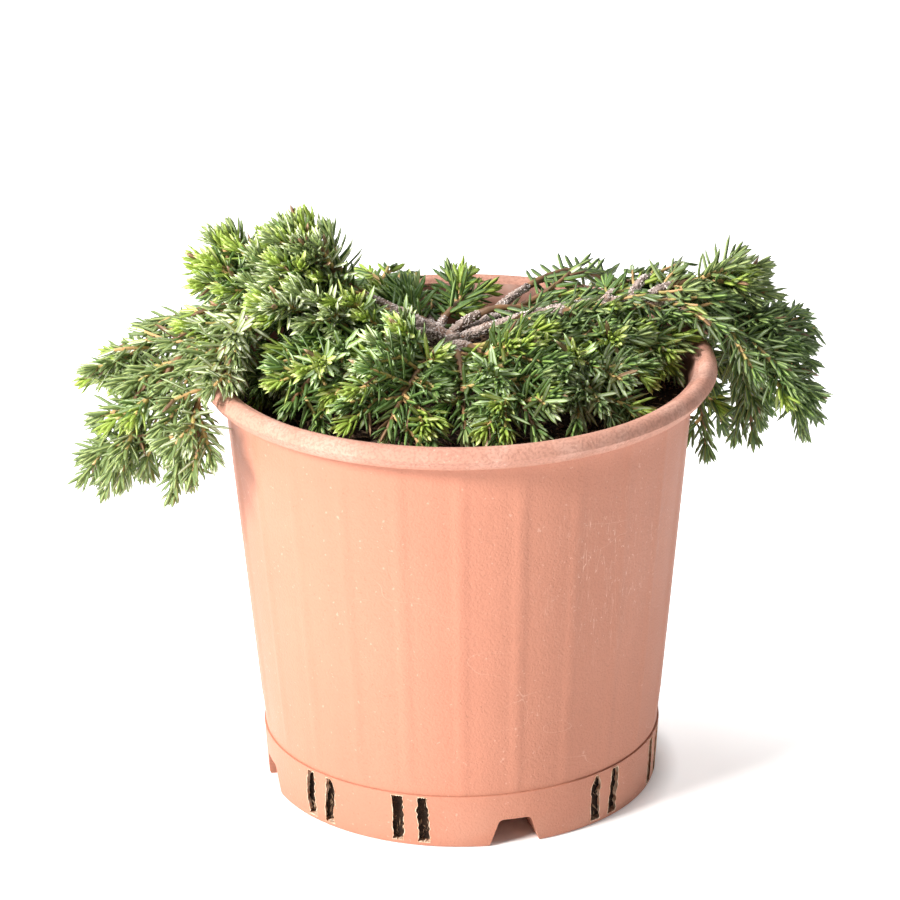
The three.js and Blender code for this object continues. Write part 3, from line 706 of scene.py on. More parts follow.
def bark_material(settings):
    # The first, dark patches stand for the bark's crevices: painted shade.
    return layered("Juniper Bark", tuple(settings.bark), 0.85,
                   [((190.0, 0.4, 0.62, 8.0), (0.08, 0.05, 0.038), 0.85),
                    ((330.0, 0.56, 0.66, 5.0), (0.52, 0.42, 0.37), 0.75),
                    ((80.0, 0.55, 0.7, 4.0), (0.4, 0.2, 0.12), 0.5)],
                   (420.0, 1500.0, 0.5, 0.8, 0.0006), ((120.0, 0.3, 0.7), 0.7, 0.95))


def twig_material(name, colour, second):
    return layered(name, colour, 0.6, [((150.0, 0.4, 0.6, 5.0), second, 0.7)],
                   (700.0, 2200.0, 0.4, 0.4, 0.0003))


def needle_material(name, colour, roughness):
    """Waxy needle skin: one plain colour with a fine grain in its gloss."""
    return layered(name, colour, roughness, [((110.0, 0.35, 0.65, 3.0), shaded(colour, 0.72), 0.6)],
                   uneven=((800.0, 0.3, 0.7), roughness - 0.08, roughness + 0.1), gloss=0.45)


# Pot

def wall_radius(height):
    share = (height - FOOT_HEIGHT) / (RIM_UNDER - FOOT_HEIGHT)
    return WALL_FOOT_RADIUS + share * (WALL_TOP_RADIUS - WALL_FOOT_RADIUS)


def foot_radius(share):
    return FOOT_BASE_RADIUS + share * (FOOT_TOP_RADIUS - FOOT_BASE_RADIUS)


def outer_profile():
    """The pot's outside, from the middle of its underside up over the rolled rim."""
    points = [(FOOT_BASE_RADIUS - 1.4 * MM, 0), (FOOT_BASE_RADIUS - 0.4 * MM, 0.35 * MM),
              (FOOT_BASE_RADIUS, 1.4 * MM)]
    points += [(foot_radius(share), share * FOOT_HEIGHT) for share in (0.33, 0.66, 0.96)]
    points += [(FOOT_TOP_RADIUS - SEAM / 2, FOOT_HEIGHT - 0.1 * MM),
               (WALL_FOOT_RADIUS - SEAM, FOOT_HEIGHT + 0.15 * MM),
               (WALL_FOOT_RADIUS, FOOT_HEIGHT + SEAM)]
    tall = RIM_UNDER - FOOT_HEIGHT - SEAM - 0.8 * MM
    for row in range(1, WALL_ROWS + 1):
        height = FOOT_HEIGHT + SEAM + tall * row / WALL_ROWS
        points.append((wall_radius(height), height))
    roll = RIM_RADIUS - LIP_RADIUS
    under = RIM_RADIUS - 3 * MM
    points += [(WALL_TOP_RADIUS + 0.7 * MM, RIM_UNDER + 0.2 * MM), (under, RIM_UNDER + 0.3 * MM)]
    for step in range(1, ROLL["steps"] + 1):
        turn = math.pi * step / ROLL["steps"] * ROLL["sweep"] - ROLL["start"]
        radius = RIM_RADIUS - roll / 2 + (roll / 2) * math.cos(turn)
        height = RIM_UNDER + ROLL["middle"] + ROLL["half"] * math.sin(turn)
        points.append((min(radius, RIM_RADIUS), min(height, POT_HEIGHT)))
    points.append((LIP_RADIUS - 0.4 * MM, POT_HEIGHT - 2.2 * MM))
    return points


def inner_profile(inset, top):
    """The pot's inside, from the floor up to a height, kept an inset away from it."""
    skin = WALL + inset
    floor_radius = foot_radius((FLOOR + inset) / FOOT_HEIGHT) - skin
    return [(floor_radius, FLOOR + inset), (wall_radius(FOOT_HEIGHT) - skin, FOOT_HEIGHT),
            (wall_radius(top) - skin, top)]


def notch_turns():
    return [math.radians(NOTCH["first"] + i * 360 / NOTCH["count"]) for i in range(NOTCH["count"])]


def notch_block(skin, material):
    """A block with sloping sides that reaches outward from the pot's middle."""
    deselect_all()
    below = 4 * MM if skin == 0 else 0.4 * MM
    roof, base = NOTCH["height"] + skin, NOTCH["base"] + 2 * skin
    start = NOTCH["reach"] - skin
    depth = RIM_RADIUS - start
    bpy.ops.mesh.primitive_cube_add(
        size=1, location=(start + depth / 2, 0, (roof - below) / 2))
    block = bpy.context.object
    block.scale = (depth, base, roof + below)
    settle(block)
    pick_none('FACE')
    for face in block.data.polygons:
        face.select = face.normal.z > 0.9
    with editing():
        bpy.ops.transform.resize(value=(1, (NOTCH["roof"] + 2 * skin) / base, 1))
    near = 0.1 * MM
    for edge in block.data.edges:
        first, second = (block.data.vertices[i].co for i in edge.vertices)
        edge.select = min(first.z, second.z) > roof - near and abs(first.y - second.y) < near
    with editing('EDGE'):
        bpy.ops.mesh.bevel(offset=NOTCH["corner"], segments=4)
    block.data.materials.append(material)
    return block


def slot_block(number, azimuth, material, flash=0.0):
    """A ragged upright slot, wavy and pinched at one end, or the torn lip that frames it."""
    deselect_all()
    low, tall = SLOT["low"], SLOT["high"] - SLOT["low"]
    width, ragged = SLOT["width"], SLOT["ragged"]
    depth = SLOT["skin"] if flash else SLOT["depth"]
    place = FOOT_TOP_RADIUS + (SLOT["proud"] - depth / 2 if flash else 0)
    bpy.ops.mesh.primitive_cube_add(size=1, location=(place, 0, (low + SLOT["high"]) / 2))
    block = bpy.context.object
    block.scale = (depth, width - ragged + 2 * flash, tall + 2 * flash)
    settle(block)
    with editing(select='SELECT'):
        bpy.ops.mesh.subdivide(number_cuts=SLOT["cuts"])
    seed, step = SEED["slot"]
    draw = draws_from(seed + step * number)
    last = SLOT["cuts"] + 1
    sides = {side: [draw() - 0.5 for _ in range(last + 1)] for side in (-1, 1)}
    phase, swing, pinch = draw() * 2 * math.pi, 0.3 + draw(), draw()
    ends = [draw() - 0.5 for _ in range(last + 1)]
    for vertex in block.data.vertices:
        x, y, z = vertex.co
        share = (z - low) / tall
        row = min(max(round(share * last), 0), last)
        side = 1 if y > 0 else -1
        beyond = max(0.0, share - SLOT["pinch_from"])
        narrow = 1 - SLOT["pinch"] * pinch * beyond / SLOT["pinch_run"]
        torn = SLOT["torn"] * ragged * sides[side][row] * min(1, abs(y) / (width - ragged) * 2)
        wave = ragged * swing * math.sin(share * SLOT["waves"] + phase)
        vertex.co.y = y * narrow + torn + wave
        if row in (0, last) and not flash:
            vertex.co.z += ragged * ends[round((y / (width + 2 * flash) + 0.5) * last)]
        if x < FOOT_TOP_RADIUS - 0.5 * MM and not flash:
            vertex.co.y *= 1 + SLOT["undercut"]
        vertex.co.x -= (1 - share) * (FOOT_TOP_RADIUS - FOOT_BASE_RADIUS)
    block.rotation_euler = (0, 0, math.radians(azimuth))
    settle(block)
    block.data.materials.append(material)
    return block


def stand_out_bands(obj, settings):
    """Pushes the edge of every upright band of the wall a little outward."""
    activate(obj)
    pick_none('VERT')
    pitch = 2 * math.pi / settings.bands
    for vertex in obj.data.vertices:
        x, y, z = vertex.co
        off = math.remainder(math.atan2(y, x), pitch)
        on_wall = FOOT_HEIGHT + 1 * MM < z < RIM_UNDER - 1 * MM
        vertex.select = on_wall and abs(off) < math.radians(0.5)
    ratio = 1 + settings.band_relief / WALL_FOOT_RADIUS
    with editing():
        bpy.ops.transform.resize(value=(ratio, ratio, 1), center_override=(0, 0, 0))


def make_pot(settings):
    plastic = terracotta_material(settings)
    stained_and_shaded = inside_material(settings)
    torn = torn_material()
    pot = lathe_piece("pot_body", outer_profile(), settings.sides, plastic)
    stand_out_bands(pot, settings)
    mouth = [(LIP_RADIUS - 0.6 * MM, POT_HEIGHT - 2 * MM),
             (LIP_RADIUS + 0.2 * MM, POT_HEIGHT + 4 * MM)]
    inside = lathe_piece(
        "pot_inside", inner_profile(0, RIM_UNDER) + mouth, settings.sides, stained_and_shaded)
    notch, pocket = notch_block(0, plastic), notch_block(WALL, stained_and_shaded)
    turns = notch_turns()

    def cut_round(target, block):
        for turn in turns:
            space = copy_turned(block, turn)
            boolean(target, space)
            remove(space)
    cut_round(inside, pocket)
    boolean(pot, inside)
    cut_round(pot, notch)
    azimuths = [math.degrees(turn) + side + half for turn in turns
                for side in (-SLOT["from_notch"], SLOT["from_notch"])
                for half in (-SLOT["half_angle"], SLOT["half_angle"])]
    lips, cutter = (
        join([slot_block(i, azimuth, torn, flash) for i, azimuth in enumerate(azimuths)])
        for flash in (SLOT["flash"], 0.0))
    boolean(pot, lips, 'UNION')
    boolean(pot, cutter)
    for extra in (inside, notch, pocket, lips, cutter):
        remove(extra)
    activate(pot)
    bpy.ops.object.shade_smooth_by_angle(angle=math.radians(35))
    return finish_piece(pot, "pot_shell", ["pot"])


# Compost

def scattered(name, places, sizes, stretch, seed, material, lean=0.35, uneven=0.35):
    """Many small crumbs or fibres as one mesh: stretched eight-faced clods at random turns."""
    random = np.random.RandomState(seed)
    corners = np.array([(1, 0, 0), (-1, 0, 0), (0, 1, 0), (0, -1, 0), (0, 0, 1), (0, 0, -1)], float)
    faces = np.array([(0, 2, 4), (2, 1, 4), (1, 3, 4), (3, 0, 4),
                      (2, 0, 5), (1, 2, 5), (3, 1, 5), (0, 3, 5)])
    count = len(places)
    size = random.uniform(*sizes, count)[:, None, None]
    shape = corners[None] * np.array(stretch)[None, None]
    shape = shape * (1 + uneven * random.uniform(-1, 1, (count, 6, 3))) * size
    turn = random.uniform(0, 2 * math.pi, count)
    tilt = random.uniform(-lean, lean, count)
    x = shape[..., 0] * np.cos(tilt)[:, None] - shape[..., 2] * np.sin(tilt)[:, None]
    z = shape[..., 0] * np.sin(tilt)[:, None] + shape[..., 2] * np.cos(tilt)[:, None]
    y = shape[..., 1]
    cos, sin = np.cos(turn)[:, None], np.sin(turn)[:, None]
    points = np.stack([x * cos - y * sin, x * sin + y * cos, z], axis=-1) + places[:, None]
    rows = (faces[None] + 6 * np.arange(count)[:, None, None]).reshape(-1, 3)
    return mesh_from_arrays(
        name, points.reshape(-1, 3), [rows], [np.zeros(len(rows), int)], [material])


def surface_lift(x, y):
    """Height of the lumpy compost surface over its mean level."""
    waves = sum(np.sin(x * a + y * b + c) * np.cos(y * d + x * e + f) * high
                for (a, b, c), (d, e, f), high in WAVES)
    off = ((x - MOUND["x"]) / MOUND["deep"]) ** 2 + ((y - MOUND["y"]) / MOUND["wide"]) ** 2
    return (waves + MOUND["height"] * np.exp(-off)) * MM


def make_compost(settings):
    material = compost_material(settings)
    fibres = fibre_material()
    profile = inner_profile(GAP * MM, SOIL_LEVEL - 0.6 * MM)
    edge, rings = profile[-1][0], COMPOST["rings"]
    profile += [(edge * (1 - ring / rings) + 0.4 * MM, SOIL_LEVEL) for ring in range(1, rings)]
    soil = lathe_piece("soil_body", profile, COMPOST["sides"], material)
    for turn in notch_turns():
        block = notch_block(WALL + GAP * MM, material)
        block.rotation_euler = (0, 0, turn)
        settle(block)
        boolean(soil, block)
        remove(block)
    for vertex in soil.data.vertices:
        x, y, z = vertex.co
        if z > SOIL_LEVEL - 0.1 * MM and math.hypot(x, y) < edge - 2 * MM:
            vertex.co.z += surface_lift(x, y)
    activate(soil)
    bpy.ops.object.shade_smooth_by_angle(angle=math.radians(50))
    finish_piece(soil, "compost_body", ["soil"])

    random = np.random.RandomState(SEED["compost"])
    crumbs = COMPOST["crumbs"]
    count = crumbs + COMPOST["fibres"]
    radius = (edge - COMPOST["edge"]) * np.sqrt(random.uniform(0, 1, count))
    angle = random.uniform(0, 2 * math.pi, count)
    x, y = radius * np.cos(angle), radius * np.sin(angle)
    places = np.stack([x, y, SOIL_LEVEL + surface_lift(x, y) + COMPOST["crumb_lift"]], axis=-1)
    finish_piece(scattered(
        "compost_crumbs", places[:crumbs], COMPOST["crumb"], COMPOST["crumb_shape"],
        SEED["crumbs"], crumb_material()), "compost_crumbs")
    finish_piece(scattered(
        "compost_fibres", places[crumbs:] + np.array([0, 0, COMPOST["fibre_lift"]]),
        COMPOST["fibre"], COMPOST["fibre_shape"], SEED["fibres"], fibres),
        "compost_fibres")
    finish_piece(slot_fibres(fibres), "slot_roots")


def slot_fibres(material):
    """Fine roots and crumbs that show behind the drainage slots."""
    random = np.random.RandomState(SEED["roots"])
    places = []
    for notch in range(NOTCH["count"]):
        for side in (-SLOT["from_notch"], SLOT["from_notch"]):
            middle = NOTCH["first"] + notch * 360 / NOTCH["count"] + side
            for _ in range(ROOTS["count"]):
                angle = math.radians(middle + random.uniform(-ROOTS["spread"], ROOTS["spread"]))
                height = random.uniform(
                    SLOT["low"] + ROOTS["margin"], SLOT["high"] - ROOTS["margin"])
                radius = foot_radius(height / FOOT_HEIGHT)
                radius -= WALL + random.uniform(*ROOTS["deep"]) * MM
                places.append((math.cos(angle) * radius, math.sin(angle) * radius, height))
    return scattered("slot_roots", np.array(places), ROOTS["size"], ROOTS["shape"],
                     SEED["root_shapes"], material, ROOTS["lean"])


# Growth, in millimetres until the meshes are made

UP = np.array([0.0, 0.0, 1.0])


def draws_from(seed):
    """Repeatable draws between 0 and 1."""
    state = seed

    def draw():
        nonlocal state
        state = (state * 16807) % 2147483647
        return state / 2147483647
    return draw


def unit(vector):
    vector = np.asarray(vector, float)
    return vector / np.linalg.norm(vector, axis=-1, keepdims=True)


class Curve:
    """A Bézier curve of any degree."""

    def __init__(self, *handles):
        self.handles = np.array(handles, float)

    def point(self, share):
        share = np.asarray(share, float)[..., None]
        handles = [np.broadcast_to(h, share.shape[:-1] + (3,)) for h in self.handles]
        while len(handles) > 1:
            handles = [a + (b - a) * share for a, b in zip(handles, handles[1:])]
        return handles[0]

    def tangent(self, share):
        slopes = Curve(*(self.handles[1:] - self.handles[:-1]))
        return unit(slopes.point(share))

    def length(self):
        points = self.point(np.linspace(0, 1, 33))
        return float(np.linalg.norm(np.diff(points, axis=0), axis=1).sum())

    def part(self, start, end):
        """The stretch of a cubic curve between two shares of it."""
        p = self.handles

        def blossom(a, b, c):
            first = [p[i] + (p[i + 1] - p[i]) * a for i in range(3)]
            second = [first[i] + (first[i + 1] - first[i]) * b for i in range(2)]
            return second[0] + (second[1] - second[0]) * c
        return Curve(blossom(start, start, start), blossom(start, start, end),
                     blossom(start, end, end), blossom(end, end, end))


def outward_from(tangent, reference, turn):
    """The direction across a tangent, at a turn from the side that a reference gives."""
    first = unit(np.cross(np.broadcast_to(reference, tangent.shape), tangent))
    second = np.cross(first, tangent)
    turn = np.asarray(turn)[..., None]
    return first * np.cos(turn) + second * np.sin(turn)


def trunk_path():
    foot = np.array([*TRUNK["foot"], TRUNK["level"]])
    top = np.array([*TRUNK["top"], TRUNK["level"] - GAP + TRUNK["height"]])
    rise = TRUNK["height"] * HANDLE
    return Curve(foot, foot + UP * rise, top + np.array([*TRUNK["arrive"], -rise]), top)


def tilted(heading, degrees):
    slope = math.radians(degrees)
    return heading * math.cos(slope) + UP * math.sin(slope)


class Limb:
    """A limb's bough and the stem of its mass of foliage."""

    def __init__(self, row, start):
        (self.name, _, _, azimuth, reach, height, leave, arrive, sway, bare,
         self.shoots, self.spread, self.tint, self.fresh) = row
        turn = math.radians(azimuth)
        tip = np.array([math.cos(turn) * reach, math.sin(turn) * reach, height])
        chord = tip - start
        heading = unit([chord[0], chord[1], 0])
        self.side = np.cross(UP, heading)
        handle = np.linalg.norm(chord) * HANDLE
        first = start + tilted(heading, leave) * handle + self.side * sway
        second = tip - tilted(heading, arrive) * handle + self.side * sway
        path = Curve(start, first, second, tip)
        self.bough = path.part(0, bare)
        length = path.length()
        self.stem = path.part(bare + GAP / length, 1 - SHOOT["needle_reach"] / length)


def lay_out_limbs():
    trunk = trunk_path()
    laid = {}
    pending = list(LIMBS)
    while pending:
        row = pending.pop(0)
        parent = trunk if row[1] == "trunk" else laid.get(row[1]) and laid[row[1]].bough
        if parent is None:
            pending.append(row)
        else:
            laid[row[0]] = Limb(row, parent.point(row[2]))
    return [laid[row[0]] for row in LIMBS]


def trunk_radius(share):
    taper = TRUNK["base"] + share * (TRUNK["end"] - TRUNK["base"])
    flare = np.maximum(0, 1 - share / TRUNK["flare_share"])
    return taper + (TRUNK["flare"] - TRUNK["base"]) * flare * flare


def bough_radius(share):
    return WOOD["base"] + share * (WOOD["end"] - WOOD["base"])


def pot_room(points):
    """Room between points and the pot's rim and wall."""
    radius = np.hypot(points[..., 0], points[..., 1]) * MM
    height = points[..., 2] * MM
    middle = (RIM_RADIUS + LIP_RADIUS - WALL) / 2
    half = RIM_RADIUS - middle
    rounding = 2 * MM
    sideways = np.maximum(0, np.abs(radius - middle) - half + rounding)
    off = np.abs(height - POT_HEIGHT + RIM_DEPTH / 2)
    upward = np.maximum(0, off - RIM_DEPTH / 2 + rounding)
    rim = np.hypot(sideways, upward) - rounding
    wall = np.abs(radius - wall_radius(height) + WALL / 2) - WALL / 2
    wall = np.where(height < POT_HEIGHT - rounding, wall, 1.0)
    return np.minimum(rim, wall) / MM


def soil_room(points):
    in_pot = np.hypot(points[..., 0], points[..., 1]) * MM < WALL_TOP_RADIUS
    lift = surface_lift(points[..., 0] * MM, points[..., 1] * MM) / MM
    return np.where(in_pot, points[..., 2] - SOIL_LEVEL / MM - lift, 100.0)


class Space:
    """Tells which points are free for a mass: clear of pot, compost, wood and other masses."""

    def __init__(self, limbs):
        boxes = [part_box(f"{limb.name}_foliage") for limb in limbs]
        looks = [LOOK.get(limb.name, {}) for limb in limbs]
        trims = [(*look.get("inset", (0, 0, 0)), look.get("lower", 0)) for look in looks]
        self.low = [np.array(low) / MM + CLEAR["below"] + (left, 0, rise)
                    for (low, _), (left, _, rise, _) in zip(boxes, trims)]
        self.high = [np.array(high) / MM - CLEAR["above"] - (right, 0, drop)
                     for (_, high), (_, right, _, drop) in zip(boxes, trims)]
        shares = np.linspace(0, 1, 25)
        self.stems = np.array([limb.stem.point(shares) for limb in limbs])
        self.wood = np.concatenate(
            [trunk_path().point(shares)] + [limb.bough.point(shares) for limb in limbs])
        self.thickness = np.concatenate(
            [trunk_radius(shares)] + [bough_radius(shares) for _ in limbs])

    def free(self, index, point, radius):
        if pot_room(point) < radius + CLEAR["pot"]:
            return False
        if soil_room(point) < radius + CLEAR["soil"]:
            return False
        if (point < self.low[index]).any() or (point > self.high[index]).any():
            return False
        away = np.linalg.norm(self.stems - point, axis=-1).min(axis=1)
        if (np.delete(away, index) < away[index] - CLEAR["blend"]).any():
            return False
        clear = np.linalg.norm(self.wood - point, axis=-1) - self.thickness
        return bool(clear.min() > radius + CLEAR["limb"])


class Shoot:
    """A leafy shoot: its path, thickness, order and limb."""

    def __init__(self, path, reference, phase, order, limb):
        self.path, self.reference, self.phase = path, reference, phase
        self.order, self.limb = order, limb
        self.root, self.end, self.bare = ORDERS[order]
        self.length = path.length()
        self.fresh = False


def shoot_path(parent, share, reference, turn, lean, length, droop):
    """The path of a shoot that leaves its parent's path, and the tangent there."""
    root, tangent = parent.point(share), parent.tangent(share)
    slope = math.radians(lean)
    direction = tangent * math.cos(slope)
    direction = direction + outward_from(tangent, reference, turn) * math.sin(slope)
    tip = root + direction * length + tangent * length * droop
    return Curve(root, root + direction * length / 2, tip), direction, tangent


def side_turn(number, draw, below, wander):
    """Shoots leave by turns to the left and the right, more or less above the middle."""
    return (1 if number % 2 else -1) * (math.pi / 2 + (draw() - below) * wander)


def side_shoot(space, index, parent, share, turn, lean, length, least):
    """A path from a parent's, cut short where it would leave the free space, or nothing."""
    whole, direction, tangent = shoot_path(
        parent.path, share, parent.reference, turn, lean, length, SHOOT["curl"])
    step = 1 / SHOOT["steps"]
    reached = SHOOT["sure"]
    while reached < 1 and space.free(index, whole.point(reached + step), SHOOT["core"]):
        reached += step
    reached = min(reached, 1)
    if reached * length < least:
        return None
    root = whole.handles[0]
    bend = root + direction * length * reached / 2
    return Curve(root, bend, whole.point(reached)), tangent


def grow_mass(space, index, limb, fullness):
    """The stem of a mass, its side shoots and their twigs."""
    look = {"spray": 1, "stem": 1, **SHOOT, **LOOK.get(limb.name, {})}
    seed, step = SEED["mass"]
    draw = draws_from(seed + step * index)
    stem = Shoot(limb.stem.part(0, look["stem"]), limb.side, draw() * math.pi, STEM, limb)
    stem.bare = look["bare"]
    wanted = []
    for i in range(limb.shoots):
        along = (SHOOT["last"] - SHOOT["first"]) * ((i + SHOOT["jitter"] * draw()) / limb.shoots)
        share = SHOOT["first"] + along
        turn = side_turn(i, draw, SHOOT["below"], SHOOT["wander"])
        scale = SHOOT["least_scale"] + SHOOT["more_scale"] * draw()
        length = limb.spread * scale * (SHOOT["root_scale"] - SHOOT["taper"] * share)
        wanted.append((share, turn, length - SHOOT["needle_reach"], draw() * math.pi))
    seed, step = SEED["finer"]
    more = draws_from(seed + step * index)
    finer = limb.shoots * (fullness - 1)
    for i in range(int(finer)):
        share = FINER["first"] + FINER["run"] * (i + more()) / finer
        turn = side_turn(i, more, look["below"], look["wander"])
        length = limb.spread * (FINER["least_scale"] + FINER["more_scale"] * more())
        length *= FINER["root_scale"] - FINER["taper"] * share
        length *= look["spray"]
        wanted.append((share, turn, length - SHOOT["needle_reach"], more() * math.pi))
    shoots = [stem]
    for share, turn, length, phase in wanted:
        grown = share >= stem.bare - SHOOT["spare"] and side_shoot(
            space, index, stem, share, turn, look["lean"], length, SHOOT["least"])
        if grown:
            shoots.append(Shoot(*grown, phase, SIDE, limb))
    for parent in shoots[1:]:
        count = int(parent.length // TWIG["pitch"])
        for i in range(count):
            share = TWIG["first"] + TWIG["run"] * (i + more()) / max(count, 1)
            turn = (1 if i % 2 else -1) * (math.pi / 2) + (more() - 0.5) * TWIG["wander"]
            length = TWIG["least"] + TWIG["more"] * more()
            length *= TWIG["root_scale"] - TWIG["taper"] * share
            grown = side_shoot(
                space, index, parent, share, turn, TWIG["lean"], length, TWIG["shortest"])
            if grown:
                shoots.append(Shoot(*grown, more() * math.pi, SMALL, limb))
    shoots += bough_sprigs(limb, more)
    for shoot in shoots:
        shoot.fresh = more() < limb.fresh
    return shoots


def bough_sprigs(limb, draw):
    """Short leafy sprigs along the upper side of a bough, beyond the bare hub of the plant."""
    hub = trunk_path().point(1)
    begins = LOOK.get(limb.name, {}).get("sprigs", 0)
    sprigs = []
    count = int(limb.bough.length() / SPRIG["pitch"])
    for i in range(count):
        share = (i + draw()) / count
        turn = side_turn(i, draw, SHOOT["below"], SHOOT["wander"])
        length = SPRIG["least"] + SPRIG["more"] * draw()
        phase = draw() * math.pi
        path, _, tangent = shoot_path(
            limb.bough, share, limb.side, turn, SHOOT["lean"], length, SPRIG["droop"])
        root = path.handles[0]
        if share < begins or np.linalg.norm(root - hub) < SPRIG["bare"]:
            continue
        points = path.point(np.array([0.5, 0.75, 1.0]))
        clear = min(pot_room(points).min(), soil_room(points).min()) > SHOOT["core"]
        if clear and points[-1, 2] < root[2] + SPRIG["tip"]:
            sprigs.append(Shoot(path, tangent, phase, LONE, limb))
    return sprigs


def tube_arrays(path, reference, radius_at, sides, rings):
    """Points and faces of a closed tube along a path."""
    shares = np.linspace(0, 1, rings)
    centres, tangents = path.point(shares), path.tangent(shares)
    turns = np.arange(sides) * 2 * math.pi / sides
    radius = radius_at(shares[:, None], turns[None, :])
    outward = outward_from(
        np.broadcast_to(tangents[:, None], (rings, sides, 3)), reference, turns[None])
    points = (centres[:, None] + outward * radius[..., None]).reshape(-1, 3)
    ring = np.arange(rings - 1)[:, None] * sides
    here = np.arange(sides)[None, :]
    there = (here + 1) % sides
    above = ring + sides
    quads = np.stack([ring + here, above + here, above + there, ring + there], axis=-1)
    ends = [centres[0], centres[-1] + tangents[-1] * radius[-1].mean() * TUBE["point"]]
    base, last = len(points), (rings - 1) * sides
    low = np.stack([np.full(sides, base), here[0], there[0]], axis=-1)
    high = np.stack([np.full(sides, base + 1), last + there[0], last + here[0]], axis=-1)
    return np.vstack([points, ends]), quads.reshape(-1, 4), np.vstack([low, high])


def joined_tubes(name, tubes, material):
    """Many tubes as one mesh."""
    points = [part[0] for part in tubes]
    bases = np.cumsum([0] + [len(part) for part in points])
    faces = [np.vstack([part[kind] + base for part, base in zip(tubes, bases)]) for kind in (1, 2)]
    rows = [np.zeros(len(group), int) for group in faces]
    obj = mesh_from_arrays(name, np.vstack(points) * MM, faces, rows, [material])
    for polygon in obj.data.polygons:
        polygon.use_smooth = True
    face_outward(obj)
    return obj


def knobbly(radius_at, seed, ridge, knobs):
    """Adds long ridges and knobs of bark to a limb's radius."""
    random = np.random.RandomState(seed)
    phases = random.uniform(0, 2 * math.pi, 6)
    places = random.uniform(0, 1, (knobs, 2))

    def radius(share, turn):
        base = radius_at(share)
        ridges = sum(strength * np.sin(around * turn + along * share + phase)
                     for (around, along, strength), phase in zip(RIDGES, phases))
        swell = np.zeros(np.broadcast(share, turn).shape)
        for place, side in places:
            off = np.angle(np.exp(1j * (turn - side * 2 * math.pi)))
            near = ((share - place) / WOOD["knob_long"]) ** 2
            swell = swell + np.exp(-near - (off / WOOD["knob_wide"]) ** 2)
        rough = random.normal(0, WOOD["rough"], swell.shape)
        return base * (1 + ridge * ridges + WOOD["knob"] * swell + rough)
    return radius


def make_wood(settings):
    material = bark_material(settings)
    limbs = lay_out_limbs()
    radius = knobbly(trunk_radius, SEED["trunk"], WOOD["trunk_ridge"], WOOD["trunk_knobs"])
    trunk = tube_arrays(
        trunk_path(), TRUNK["side"], radius, WOOD["trunk_sides"], WOOD["trunk_rings"])
    finish_piece(joined_tubes("trunk_bark", [trunk], material), "trunk_bark", ["trunk"])
    tubes = []
    for index, limb in enumerate(limbs):
        length = limb.bough.length()
        rings = max(8, int(length / WOOD["ring"]))
        radius = knobbly(bough_radius, SEED["bough"] + index, WOOD["ridge"],
                         max(3, int(length / WOOD["knob_pitch"])))
        tubes.append(tube_arrays(limb.bough, limb.side, radius, WOOD["sides"], rings))
    finish_piece(joined_tubes("boughs_bark", tubes, material), "boughs_bark", BOUGHS)
    finish_piece(bark_flakes(limbs), "bark_flakes")


def bark_flakes(limbs):
    """Thin pale scales of bark that lift off the trunk and the boughs, thickest at the hub."""
    random = np.random.RandomState(SEED["flakes"])
    stems = [(trunk_path(), trunk_radius, TRUNK["side"])]
    stems += [(limb.bough, bough_radius, limb.side) for limb in limbs]
    lengths = np.array([path.length() for path, _, _ in stems])
    places = []
    for number, ((path, radius_at, side), length) in enumerate(zip(stems, lengths)):
        denser = 1 if number else FLAKE["at_trunk"]
        count = int(FLAKE["count"] * length / lengths.sum() * denser)
        share = random.uniform(0, 1, count) ** FLAKE["crowd"]
        share = share if number else 1 - share
        turn = random.uniform(0, 2 * math.pi, count)
        outward = outward_from(path.tangent(share), side, turn)
        places.append(path.point(share) + outward * (radius_at(share) * FLAKE["lift"])[:, None])
    pale = twig_material("Pale Bark Flakes", (0.76, 0.68, 0.65), (0.42, 0.3, 0.25))
    return scattered("bark_flakes", np.concatenate(places) * MM, FLAKE["size"], FLAKE["shape"],
                     SEED["flake_shapes"], pale, FLAKE["lean"])


# Needles

def needle_template():
    """Points along (side, length, upper face) and faces of one needle with a striped channel."""
    points, quads = [], []
    bands = np.array(NEEDLE["bands"])
    corners, rings = len(bands), len(NEEDLE["rings"])
    for along, wide in NEEDLE["rings"]:
        half, ridge = wide / 2, wide * NEEDLE["keel_half"]
        inner = half * NEEDLE["margin"]
        channel, keel = -NEEDLE["channel"] * wide, -NEEDLE["keel"] * wide
        points += [(-half, along, 0), (-inner, along, channel), (inner, along, channel),
                   (half, along, 0), (ridge, along, keel), (-ridge, along, keel)]
    points.append((0, 1, -0.05))
    turns = [(i, (i + 1) % corners) for i in range(corners)]
    for low in range(0, (rings - 1) * corners, corners):
        quads += [(low + i, low + j, low + corners + j, low + corners + i) for i, j in turns]
    last = corners * (rings - 1)
    tips = [(last + i, last + j, last + corners) for i, j in turns]
    cap = [tuple(range(corners - 1, -1, -1))]
    faces = [np.array(part) for part in (quads, tips, cap)]
    return np.array(points), faces, [np.tile(bands, rings - 1), bands, np.zeros(1, int)]


